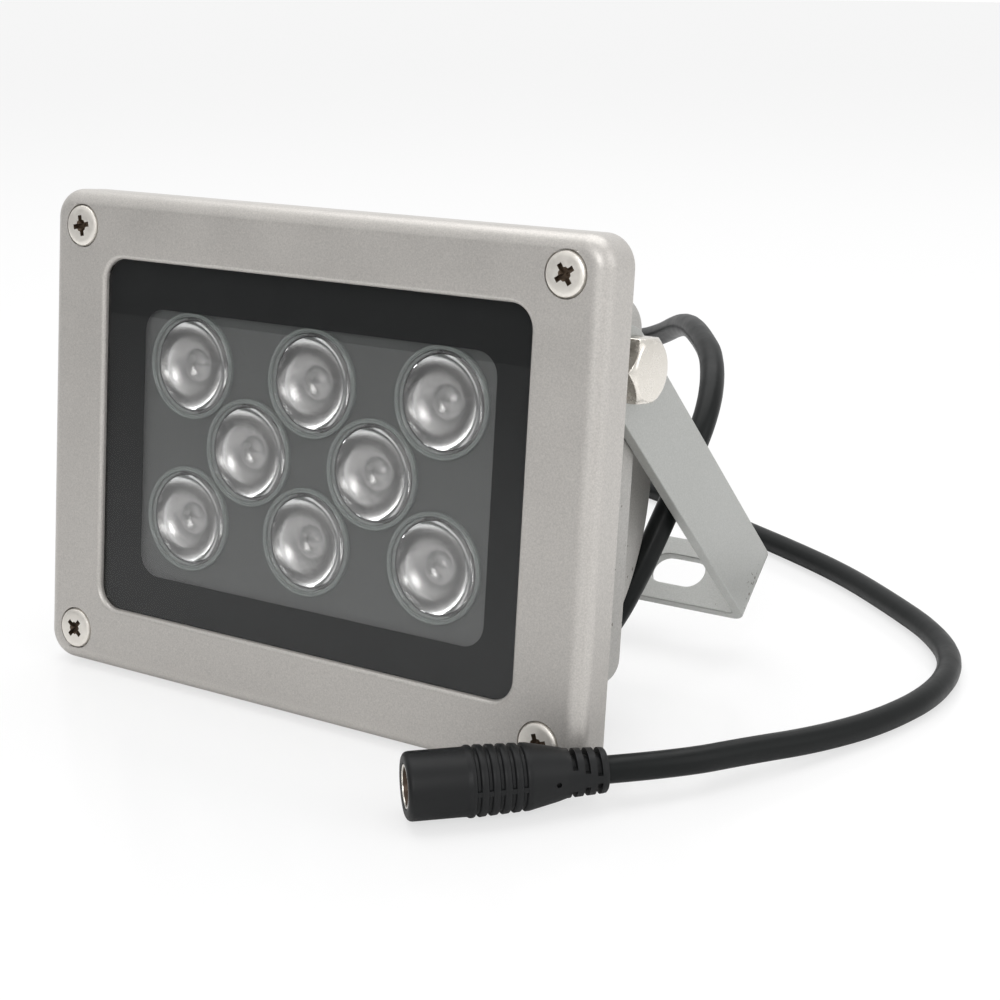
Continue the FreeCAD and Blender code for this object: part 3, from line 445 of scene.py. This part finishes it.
# Three rows of slots above and below let the relief bend with the cord round its solid core.
# Each row stands at its depth behind the socket's face and starts at its height over the axis.
RELIEF_ROWS = [(25.3, 1.7), (27.2, 1.1), (29.1, 0.6)]
slots = []
for depth, start in RELIEF_ROWS:
    for side in (0, 180):
        turn = Matrix.Rotation(math.radians(SIDE_SEAM + 90 + side), 4, "Z")
        slots.append(small_block((start, -4.2, depth - 0.42), (5.0, 4.2, depth + 0.42), turn))
cut_away(cover, join_all(slots))
core = turn_on_lathe("relief_core", [(0, 24.2), (2.55, 24.2), (2.55, 30.3), (0, 30.3)])
cut_away(cover, core, "UNION")
bpy.ops.mesh.primitive_cylinder_add(vertices=24, radius=0.42 * MM, depth=1.6 * MM)
dimple = bpy.context.object
dimple.data.transform(
    Matrix.Rotation(math.radians(SIDE_SEAM), 4, "Z")
    @ Matrix.Translation(Vector((4.35, 0, 22.6)) * MM)
    @ Matrix.Rotation(math.radians(90), 4, "Y")
)
cut_away(cover, dimple)
smooth(cover, 40)

# Moulded PVC: near black and satin, with a fine spark-eroded grain from the mould.
moulded = grained(
    "moulded_black_pvc", "#0F1011", "#151617", 0.35, 0.46, 0.02, IOR=1.46, Specular_IOR_Level=0.3
)
finish_piece(cover, socket_place, moulded, "lamp", "moulded_black", "jack_body")

# Nickel plate: warm and bright, a little dulled by handling.
nickel, tree, shader = new_material("bright_nickel_plate", Metallic=1.0)
place = add_node(tree, "ShaderNodeTexCoord")
HANDLING_SIZE = 1.5 * MM
handling = add_node(
    tree, "ShaderNodeTexNoise",
    {"Vector": place.outputs["Object"], "Scale": 1 / HANDLING_SIZE, "Detail": 4.0, "Roughness": 0.65},
)
worn = add_node(
    tree, "ShaderNodeMapRange",
    {"Value": handling.outputs["Fac"], "From Min": 0.35, "From Max": 0.7, "To Min": 0.16, "To Max": 0.34},
)
tree.links.new(worn.outputs["Result"], shader.inputs["Roughness"])
tone = add_node(
    tree, "ShaderNodeMix",
    {0: handling.outputs["Fac"], 6: linear("#D3CEC5"), 7: linear("#E9E5DE")},
    data_type="RGBA",
)
tree.links.new(tone.outputs[2], shader.inputs["Base Color"])

sleeve_profile = [(SLEEVE_BORE, SLEEVE_END), (SLEEVE_BORE, 0.3), (3.04, 0.14), (3.3, 0.14)]
sleeve_profile += [(SLEEVE_RADIUS, 0.25), (SLEEVE_RADIUS, SLEEVE_END), (SLEEVE_BORE, SLEEVE_END)]
sleeve = turn_on_lathe("socket_sleeve", sleeve_profile)
smooth(sleeve)
finish_piece(sleeve, here, nickel, "lamp", "nickel", "jack_sleeve")

# Deep in the sleeve the bore is painted a dull dark brown, as painted shade.
sleeve.data.materials.append(
    grained("sleeve_bore_painted_shade", "#3A2E26", "#4E4034", 0.6, 0.45, 0.01, Metallic=0.6)
)
for face in sleeve.data.polygons:
    bore = face.center.z > 0.32 * MM and math.hypot(face.center.x, face.center.y) < 3.1 * MM
    face.material_index = 1 if bore else 0
sleeve.data.transform(socket_place)
pin_profile = [(0, 0.9), (0.5, 0.95), (0.85, 1.2), (PIN_RADIUS, 1.7), (PIN_RADIUS, BORE_END), (0, BORE_END)]
pin = turn_on_lathe("socket_pin", pin_profile, 32)
smooth(pin, 60)
finish_piece(pin, socket_place, nickel, "lamp", "nickel", "jack_pin")
inner, outer = PIN_RADIUS + CLEARANCE, SLEEVE_RADIUS - CLEARANCE
near_end, far_end = SLEEVE_END + CLEARANCE, BORE_END - CLEARANCE
insulator = turn_on_lathe(
    "socket_insulator",
    [(inner, near_end), (outer, near_end), (outer, far_end), (inner, far_end), (inner, near_end)],
)
finish_piece(insulator, socket_place, moulded, "lamp", "insulator", "jack_insulator")


# Front frame
# A die-cast aluminium bezel, sprayed in silver-grey metallic paint and screwed to the housing.
# A thin rolled lip holds the glass. The lamp leans back, so its own axes are tilted a little.

LEAN_ANGLE = 6.64
LAMP_CENTRE = Vector((0, -32.4247, 42.7842)) * MM
lamp_place = Matrix.Translation(LAMP_CENTRE) @ Matrix.Rotation(math.radians(-LEAN_ANGLE), 4, "X")
facing_front = Matrix.Rotation(math.radians(90), 4, "X")


def at_front(x, z, depth=0.0, turn=0.0):
    """The place of a front piece in the lamp's axes: its local Z looks out of the lamp's front."""
    spot = Matrix.Translation(Vector((x, depth, z)) * MM)
    return lamp_place @ spot @ facing_front @ Matrix.Rotation(math.radians(turn), 4, "Z")


def remade(node, name, edge):
    """A copy of a CAD node with its loose facets merged and its sharp edges eased in millimetres."""
    piece = bpy.data.objects.new(name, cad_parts[node].data.copy())
    bpy.context.scene.collection.objects.link(piece)
    pick(piece)
    bpy.ops.object.mode_set(mode="EDIT")
    bpy.ops.mesh.select_all(action="SELECT")
    bpy.ops.mesh.remove_doubles(threshold=0.001 * MM)
    bpy.ops.mesh.dissolve_limited(angle_limit=math.radians(0.6))
    bpy.ops.object.mode_set(mode="OBJECT")
    if edge:
        eased = piece.modifiers.new("eased_edges", "BEVEL")
        eased.width = edge * MM
        eased.segments = 2
        eased.limit_method = "ANGLE"
        eased.angle_limit = math.radians(40)
        eased.use_clamp_overlap = False
        apply_modifiers(piece)
    smooth(piece, 40)
    weighted = piece.modifiers.new("flat_faces_stay_flat", "WEIGHTED_NORMAL")
    weighted.keep_sharp = True
    apply_modifiers(piece)
    return piece


def metallic_paint(name, dark, light, roughness, chipped_at=None, chip_reach=12.0):
    """Sprayed metallic paint: flakes, a fine orange peel, soft handling marks and a few chips."""
    material, tree, shader = new_material(name, Metallic=0.45, Coat_Weight=0.12, Coat_Roughness=0.25)
    place = add_node(tree, "ShaderNodeTexCoord")
    flakes = add_node(
        tree, "ShaderNodeTexNoise",
        {"Vector": place.outputs["Object"], "Scale": 1 / (0.28 * MM), "Detail": 2.0, "Roughness": 0.7},
    )
    clouds = add_node(
        tree, "ShaderNodeTexNoise",
        {"Vector": place.outputs["Object"], "Scale": 1 / (14 * MM), "Detail": 3.0},
    )
    flake_tone = add_node(
        tree, "ShaderNodeMapRange",
        {"Value": flakes.outputs["Fac"], "From Min": 0.3, "From Max": 0.72, "To Min": 0.0, "To Max": 0.8},
    )
    shade = add_node(
        tree, "ShaderNodeMath", {0: clouds.outputs["Fac"], 1: 0.3, 2: flake_tone.outputs["Result"]},
        operation="MULTIPLY_ADD",
    )
    tone = add_node(
        tree, "ShaderNodeMix", {0: shade.outputs[0], 6: linear(dark), 7: linear(light)},
        data_type="RGBA",
    )
    colour = tone.outputs[2]
    dulled = add_node(
        tree, "ShaderNodeMapRange",
        {
            "Value": clouds.outputs["Fac"], "From Min": 0.35, "From Max": 0.65,
            "To Min": roughness - 0.04, "To Max": roughness + 0.05,
        },
    )
    peel = add_node(
        tree, "ShaderNodeTexNoise",
        {"Vector": place.outputs["Object"], "Scale": 1 / (0.7 * MM), "Detail": 2.0},
    )
    bump = add_node(
        tree, "ShaderNodeBump",
        {"Height": peel.outputs["Fac"], "Strength": 0.35, "Distance": 0.03 * MM},
    )
    if chipped_at:
        reach = add_node(
            tree, "ShaderNodeVectorMath",
            {0: place.outputs["Object"], 1: Vector(chipped_at) * MM}, operation="DISTANCE",
        )
        near = add_node(
            tree, "ShaderNodeMapRange",
            {
                "Value": reach.outputs["Value"], "From Min": 2 * MM, "From Max": chip_reach * MM,
                "To Min": 0.07, "To Max": -0.12,
            },
        )
        spots = add_node(
            tree, "ShaderNodeTexNoise",
            {"Vector": place.outputs["Object"], "Scale": 1 / (0.9 * MM), "Detail": 2.0},
        )
        chip = add_node(
            tree, "ShaderNodeMath", {0: spots.outputs["Fac"], 1: near.outputs["Result"]}, operation="ADD"
        )
        bare = add_node(
            tree, "ShaderNodeMapRange",
            {"Value": chip.outputs[0], "From Min": 0.66, "From Max": 0.68, "To Min": 0.0, "To Max": 1.0},
        )
        worn_through = add_node(
            tree, "ShaderNodeMix",
            {0: bare.outputs["Result"], 6: colour, 7: linear("#7B7872")}, data_type="RGBA",
        )
        colour = worn_through.outputs[2]
    tree.links.new(colour, shader.inputs["Base Color"])
    tree.links.new(dulled.outputs["Result"], shader.inputs["Roughness"])
    tree.links.new(bump.outputs["Normal"], shader.inputs["Normal"])
    return material


frame_paint = metallic_paint("silver_grey_metallic_paint", "#ACA9A5", "#C8C4BF", 0.4)
bezel = remade("front_frame", "front_bezel", 0)
finish_piece(bezel, here, frame_paint, "lamp", "silver_paint", "front_frame")


# Rear housing
# A die-cast box with a flange, two bolt bosses and eleven arched cooling fins, in the frame's
# paint, made a little darker here as painted shade. Handling has chipped it a little beside the fins.

HOUSING_CHIPS = (50, -6, 22)
# The frame's paint made a little darker: painted shade for the housing behind the frame.
shaded_housing_paint = metallic_paint("silver_grey_paint_painted_shade", "#A09E9B", "#BCBAB6", 0.46, HOUSING_CHIPS, 16)
housing = remade("rear_housing", "finned_housing", 0.2)
finish_piece(housing, here, shaded_housing_paint, "lamp", "silver_paint", "rear_housing")


# Frame screws
# Four cross-recessed steel screws with low cheese heads hold the frame. They are plated cream
# white. They were driven by hand, so each cross stands at its own angle.

SCREW_PLACES = [(-49.65, 36.0, 12), (49.65, 36.0, 35), (-49.65, -36.0, 50), (49.65, -36.0, 20)]
HEAD_TOP, HEAD_RADIUS, HEAD_SEAT = 0.44, 3.5, -1.46
THREAD_RADIUS = 1.75
CROSS_REACH, CROSS_HALF_WIDTH, CROSS_DEPTH = 1.8, 0.42, 1.1
screw_profile = [(0, HEAD_TOP), (2.6, HEAD_TOP - 0.01), (3.05, HEAD_TOP - 0.08), (3.36, 0.2)]
screw_profile += [(HEAD_RADIUS, -0.1), (HEAD_RADIUS, HEAD_SEAT), (THREAD_RADIUS, HEAD_SEAT)]
screw_profile += [(THREAD_RADIUS, -8.2), (1.1, -8.9), (0, -8.96)]
screw = turn_on_lathe("frame_screw", screw_profile, 64)
for quarter in (0, 90):
    turn = Matrix.Rotation(math.radians(quarter), 4, "Z")
    low_corner = (-CROSS_REACH, -CROSS_HALF_WIDTH, HEAD_TOP - CROSS_DEPTH)
    cut_away(screw, small_block(low_corner, (CROSS_REACH, CROSS_HALF_WIDTH, 1.0), turn))
bpy.ops.mesh.primitive_cone_add(vertices=8, radius1=0.2 * MM, radius2=1.25 * MM, depth=1.5 * MM)
centre = bpy.context.object
centre.data.transform(Matrix.Translation((0, 0, (HEAD_TOP - 0.6) * MM)))
cut_away(screw, centre)
smooth(screw, 35)
recess = []
for face in screw.data.polygons:
    off_axis = math.hypot(face.center.x, face.center.y)
    if -1.4 * MM < face.center.z < (HEAD_TOP - 0.12) * MM and off_axis < 2 * MM:
        recess.append(face.index)

# Zinc-nickel plate: cream-white and satin. Its cross recesses are painted dark brown as painted shade.
plated = grained("cream_zinc_nickel_plate", "#DDD8D0", "#F3EFE8", 1.1, 0.4, 0.01, Metallic=0.72)
recess_shade = grained("screw_recess_painted_shade", "#4A3D31", "#665647", 0.5, 0.45, 0.01, Metallic=0.5)
for number, (x, z, turn) in enumerate(SCREW_PLACES, 1):
    copy = bpy.data.objects.new(f"frame_screw_{number}", screw.data.copy())
    bpy.context.scene.collection.objects.link(copy)
    finish_piece(copy, at_front(x, z, 0, turn), plated, "lamp", "nickel", "frame_screws")
    copy.data.materials.append(recess_shade)
    # The faces of the cross recess take the dark painted shade.
    for index in recess:
        copy.data.polygons[index].material_index = 1
bpy.data.objects.remove(screw)


# Window glass and its printed border
# A clear hardened pane under the frame's lip. Its back carries a black ceramic print that leaves
# the lenses' field clear.

BORDER_WIDTH, BORDER_HEIGHT = 91.0, 64.5
FIELD_WIDTH, FIELD_HEIGHT, FIELD_CORNER, FIELD_DROP = 73.4, 47.0, 4.0, 0.65
PRINT_BACK, PRINT_FRONT = 4.08, 4.03


def rounded_slab(name, width, height, corner, back, front):
    """A slab with round corners that lies across the lamp's front, between two depths."""
    slab = small_block((-width / 2, -height / 2, -back), (width / 2, height / 2, -front), here)
    slab.name = name
    pick(slab)
    bpy.ops.object.mode_set(mode="EDIT")
    bpy.ops.mesh.select_mode(type="EDGE")
    bpy.ops.mesh.select_all(action="DESELECT")
    work = bmesh.from_edit_mesh(slab.data)
    for edge in work.edges:
        along = edge.verts[0].co - edge.verts[1].co
        edge.select_set(math.hypot(along.x, along.y) < 0.0001 * MM)
    bmesh.update_edit_mesh(slab.data)
    bpy.ops.mesh.bevel(offset=corner * MM, segments=8, affect="EDGES")
    bpy.ops.mesh.select_mode(type="VERT")
    bpy.ops.object.mode_set(mode="OBJECT")
    return slab


border = rounded_slab("glass_border", BORDER_WIDTH, BORDER_HEIGHT, 3.0, PRINT_BACK, PRINT_FRONT)
field = rounded_slab("clear_field", FIELD_WIDTH, FIELD_HEIGHT, FIELD_CORNER, 6.0, 2.0)
field.data.transform(Matrix.Translation((0, -FIELD_DROP * MM, 0)))
cut_away(border, field)

# Ceramic ink: black and nearly even, seen through the glass, so it has no gloss of its own.
ink, tree, shader = new_material("black_ceramic_print", Roughness=0.7, Specular_IOR_Level=0.0)
place = add_node(tree, "ShaderNodeTexCoord")
ink_thickness = add_node(
    tree, "ShaderNodeTexNoise",
    {"Vector": place.outputs["Object"], "Scale": 1 / (7 * MM), "Detail": 2.0},
)
tone = add_node(
    tree, "ShaderNodeMix",
    {0: ink_thickness.outputs["Fac"], 6: linear("#202121"), 7: linear("#242525")}, data_type="RGBA",
)
tree.links.new(tone.outputs[2], shader.inputs["Base Color"])
finish_piece(border, at_front(0, 0), ink, "lamp", "window_glass")


def clear_finish(name, tint, haze, **values):
    """A clear solid that light reaches through: faint haze in patches, and open to shadow rays."""
    material, tree, shader = new_material(name, Transmission_Weight=1.0, **values)
    shader.inputs["Base Color"].default_value = linear(tint)
    place = add_node(tree, "ShaderNodeTexCoord")
    patches = add_node(
        tree, "ShaderNodeTexNoise",
        {"Vector": place.outputs["Object"], "Scale": 1 / (9 * MM), "Detail": 3.0},
    )
    hazy = add_node(
        tree, "ShaderNodeMapRange",
        {"Value": patches.outputs["Fac"], "From Min": 0.4, "From Max": 0.7, "To Min": 0.0, "To Max": haze},
    )
    tree.links.new(hazy.outputs["Result"], shader.inputs["Roughness"])
    rays = add_node(tree, "ShaderNodeLightPath")
    open_path = add_node(tree, "ShaderNodeBsdfTransparent", {"Color": linear(tint)})
    surface = add_node(
        tree, "ShaderNodeMixShader",
        {0: rays.outputs["Is Shadow Ray"], 1: shader.outputs[0], 2: open_path.outputs[0]},
    )
    tree.links.new(surface.outputs[0], tree.nodes["Material Output"].inputs["Surface"])
    return material


def dress(material, *nodes):
    """Gives a finish to CAD nodes whose shape is right."""
    for node in nodes:
        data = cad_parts[node].data
        data.materials.clear()
        data.materials.append(material)


# Float glass: clear, flat and sharp in its reflections, with no haze.
dress(clear_finish("hardened_window_glass", "#FBFBFB", 0.0, IOR=1.5), "front_glass")


# Lens plate
# A punched plate holds the eight lens holders and hides the emitters' board. It is coated in
# matt dark grey, so that it doesn't shine through the window.

# Powder coat: dark, dry and finely grained.
dress(grained("dark_powder_coat", "#393B3A", "#454746", 0.3, 0.62, 0.02), "lens_plate")


# Lens holders, lenses and emitters
# Eight emitters shine through moulded acrylic lenses: a flat dome in front, and a cone that
# turns the side light forward. Each lens sits in a moulded ring with two fine lips.

LENS_PITCH = 26.2
LENS_ROW = 13.3
ARRAY_X = -0.14
ARRAY_Z = 0.52
LENS_PLACES = [(ARRAY_X + column * LENS_PITCH, ARRAY_Z + LENS_ROW) for column in (-1, 0, 1)]
LENS_PLACES += [(ARRAY_X + column * LENS_PITCH, ARRAY_Z) for column in (-0.5, 0.5)]
LENS_PLACES += [(ARRAY_X + column * LENS_PITCH, ARRAY_Z - LENS_ROW) for column in (-1, 0, 1)]
CONE_FRONT, CONE_BACK = 5.25, 13.5
CONE_RADIUS, TAIL_RADIUS = 7.7, 3.9

# Moulded polycarbonate: grey-green and satin, and its lips catch the light in two fine lines.
holder_finish = grained("satin_holder_plastic", "#606663", "#6E7471", 0.8, 0.2, 0.005)
ring_profile = [(9.13, -5.0), (9.13, -4.5), (9.08, -4.39), (8.98, -4.35), (8.88, -4.4), (8.8, -4.47)]
ring_profile += [(8.62, -4.47), (8.54, -4.4), (8.46, -4.35), (8.37, -4.4), (8.33, -4.5), (8.33, -5.35)]
ring_profile += [(7.9, -5.35), (7.9, -13.55), (8.5, -13.55), (8.5, -5.0), (9.13, -5.0)]
holder = turn_on_lathe("lens_holder", ring_profile, 96)
smooth(holder, 50)

# Moulded acrylic: glass-clear, with a faint grey from its thickness.
acrylic = clear_finish("moulded_clear_acrylic", "#FCFCFC", 0.01, IOR=1.49)

# The cone returns light by total reflection, so the eye sees a silvery bowl with the enlarged
# emitter in its middle. The real lens holds no mirror: a thin mirrored bowl inside the acrylic
# stands for that reflection. It is bright at its steep rim and grey and soft in its middle.
mirror, tree, shader = new_material("mirroring_lens_bowl", Metallic=1.0)
place = add_node(tree, "ShaderNodeTexCoord")
flow = add_node(
    tree, "ShaderNodeTexNoise",
    {"Vector": place.outputs["Object"], "Scale": 1 / (2.5 * MM), "Detail": 2.0},
)
silver = add_node(
    tree, "ShaderNodeMix",
    {0: flow.outputs["Fac"], 6: linear("#E6E7E6"), 7: linear("#FAFAFA")}, data_type="RGBA",
)
level = add_node(
    tree, "ShaderNodeVectorMath",
    {0: place.outputs["Normal"], 1: lamp_place.to_3x3() @ Vector((0, -1, 0))}, operation="DOT_PRODUCT",
)
middle = add_node(
    tree, "ShaderNodeMapRange",
    {"Value": level.outputs["Value"], "From Min": 0.8, "From Max": 0.95, "To Min": 0.0, "To Max": 1.0},
    interpolation_type="SMOOTHSTEP",
)
emitter_image = add_node(
    tree, "ShaderNodeMix",
    {0: middle.outputs["Result"], 6: silver.outputs[2], 7: linear("#A3A2A1")}, data_type="RGBA",
)
tree.links.new(emitter_image.outputs[2], shader.inputs["Base Color"])
soft = add_node(
    tree, "ShaderNodeMapRange",
    {"Value": middle.outputs["Result"], "From Min": 0.0, "From Max": 1.0, "To Min": 0.1, "To Max": 0.27},
)
tree.links.new(soft.outputs["Result"], shader.inputs["Roughness"])

lens_profile = [(0, -4.35), (2.0, -4.362), (4.0, -4.397), (6.0, -4.455), (7.6, -4.52), (8.0, -4.55)]
lens_profile += [(8.2, -4.62), (8.28, -4.72), (8.28, -5.15), (8.0, -5.2), (CONE_RADIUS, -CONE_FRONT)]
for step in range(1, 10):
    share = step / 10
    radius = TAIL_RADIUS + (CONE_RADIUS - TAIL_RADIUS) * math.sqrt(1 - share)
    lens_profile.append((radius, -CONE_FRONT - (CONE_BACK - CONE_FRONT) * share))
lens_profile += [(TAIL_RADIUS, -CONE_BACK), (2.9, -CONE_BACK), (2.9, -10.7), (2.3, -10.3), (1.2, -10.02)]
lens_profile += [(0, -9.95)]
lens = turn_on_lathe("lens", lens_profile, 72)
smooth(lens, 40)
BOWL_RADIUS, BOWL_DEPTH, BOWL_FLOOR = 7.55, 2.2, 7.6
BOWL_CURVE = 3.2
# A low swell in the bowl's middle stands for the emitter's dome.
SWELL_HEIGHT, SWELL_SHARE = 0.62, 0.42
bowl_profile = []
for step in range(25):
    share = step / 24
    swell = SWELL_HEIGHT * math.cos(min(share / SWELL_SHARE, 1) * math.pi / 2) ** 2
    height = BOWL_DEPTH * share ** BOWL_CURVE + swell
    bowl_profile.append((share * BOWL_RADIUS, height - BOWL_FLOOR))
bowl_profile += [(BOWL_RADIUS, BOWL_DEPTH - BOWL_FLOOR - 0.12), (5.0, -7.85), (0, -7.85)]
bowl = turn_on_lathe("lens_bowl", bowl_profile, 72)
smooth(bowl, 40)

# Emitter dome: clear epoxy over a reddish chip.
emitter = grained("tinted_clear_epoxy", "#B98E8A", "#D9B7B2", 1.2, 0.14, 0.005, Coat_Weight=0.5)
led_profile = [(0, -10.5), (0.9, -10.62), (1.7, -11.0), (2.2, -11.6), (2.4, -12.5), (3.4, -12.5)]
led_profile += [(3.4, -13.58), (0, -13.58)]
led = turn_on_lathe("led", led_profile, 48)
smooth(led, 50)

for number, (x, z) in enumerate(LENS_PLACES, 1):
    for model, material, slot, node in (
        (holder, holder_finish, "holder_plastic", "lens_holder"),
        (lens, acrylic, "clear_acrylic", "lens"),
        (led, emitter, "emitter_epoxy", "led"),
    ):
        copy = bpy.data.objects.new(f"{node}_piece_{number}", model.data.copy())
        bpy.context.scene.collection.objects.link(copy)
        finish_piece(copy, here, material, "lamp", slot, f"{node}_{number}")
        copy.data.transform(at_front(x, z))
    copy = bpy.data.objects.new(f"lens_bowl_{number}", bowl.data.copy())
    bpy.context.scene.collection.objects.link(copy)
    finish_piece(copy, at_front(x, z), mirror, "lamp", "clear_acrylic")
for model in (holder, lens, led, bowl):
    bpy.data.objects.remove(model)


# Bracket
# One strip of steel, folded twice and painted satin grey, turns on two bolts at the lamp's
# sides. Its base has a round hole between two slots. The paint is chipped at the lower fold.

LOWER_FOLD = (52, 31, 13)
bracket_paint = metallic_paint("satin_grey_bracket_paint", "#A4A5A2", "#B7B8B5", 0.42, LOWER_FOLD, 9)
strip = remade("bracket", "folded_strip", 0.22)
finish_piece(strip, here, bracket_paint, "bracket", "bracket_paint", "bracket")


# Bracket bolts
# Two cold-formed hexagon bolts in bright nickel clamp the bracket's legs to the housing. The
# corners of each head are turned off, which leaves the scalloped edge round its face.

HEAD_FLATS = 10.0
HEAD_HEIGHT = 4.2
HEAD_INNER = 52.3
BOLT_Y, BOLT_Z = 15.8, 21.3
SHANK_RADIUS, SHANK_END = 3.0, -10
bpy.ops.mesh.primitive_cylinder_add(
    vertices=6, radius=HEAD_FLATS / math.sqrt(3) * MM, depth=HEAD_HEIGHT * MM,
    location=(0, 0, HEAD_HEIGHT / 2 * MM),
)
bolt = bpy.context.object
bolt.name = "bracket_bolt"
bolt.data.transform(bolt.matrix_world)
bolt.matrix_world = here
chamfer_profile = [(0, 0), (5.2, 0), (5.85, 0.35), (5.85, 3.15), (4.65, HEAD_HEIGHT), (0, HEAD_HEIGHT)]
cut_away(bolt, turn_on_lathe("head_chamfer", chamfer_profile, 96), "INTERSECT")
shank_profile = [(0, 0.2), (SHANK_RADIUS, 0.2), (SHANK_RADIUS, -9.4), (2.4, SHANK_END), (0, SHANK_END)]
cut_away(bolt, turn_on_lathe("bolt_shank", shank_profile), "UNION")
eased = bolt.modifiers.new("eased_edges", "BEVEL")
eased.width = 0.12 * MM
eased.segments = 2
eased.limit_method = "ANGLE"
eased.angle_limit = math.radians(28)
eased.use_clamp_overlap = False
apply_modifiers(bolt)
smooth(bolt, 30)
for side, word in ((1, "right"), (-1, "left")):
    copy = bpy.data.objects.new(f"bracket_bolt_{word}", bolt.data.copy())
    bpy.context.scene.collection.objects.link(copy)
    spot = Matrix.Translation(Vector((side * HEAD_INNER, BOLT_Y, BOLT_Z)) * MM)
    outward = Matrix.Rotation(math.radians(side * 90), 4, "Y")
    finish_piece(copy, lamp_place @ spot @ outward, nickel, "lamp", "nickel", "bracket_bolts")
bpy.data.objects.remove(bolt)


# Cable gland
# A moulded nylon gland in the housing's back: a hexagon, and a domed cap that squeezes a rubber
# seal round the cord.

# Moulded nylon: black, satin and slightly mottled.
nylon = grained("satin_black_nylon", "#161717", "#202121", 0.5, 0.42, 0.02, IOR=1.53)
for node, name in (("gland_body", "gland_stem"), ("gland_cap", "gland_dome")):
    finish_piece(remade(node, name, 0.15), here, nylon, "lamp", "gland_nylon", node)

# Silicone rubber: matt and dark grey.
silicone = grained("matt_silicone_rubber", "#2B2B2B", "#353535", 0.6, 0.7, 0.02)
dress(silicone, "gland_seal", "sealing_gasket")


# Boards and wiring
# Inside the housing: the emitters' aluminium board in white mask, the driver board on its
# pillars with a coil and a can, and the red leads between them.

dress(grained("white_solder_mask", "#DCDCD8", "#E8E8E4", 0.5, 0.35, 0.01), "led_board")
dress(grained("green_solder_mask", "#1D5A30", "#27703D", 0.5, 0.3, 0.01), "driver_board")
dress(grained("red_wire_jacket", "#85150F", "#9A1D15", 0.8, 0.4, 0.02), "board_leads", "supply_leads")
dress(grained("pressed_ferrite", "#232325", "#303032", 0.25, 0.65, 0.03), "inductor")
dress(grained("drawn_aluminium_can", "#BFC0C2", "#D2D3D4", 0.4, 0.3, 0.01, Metallic=1.0), "capacitor")
dress(nickel, "board_screws")

low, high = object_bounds()
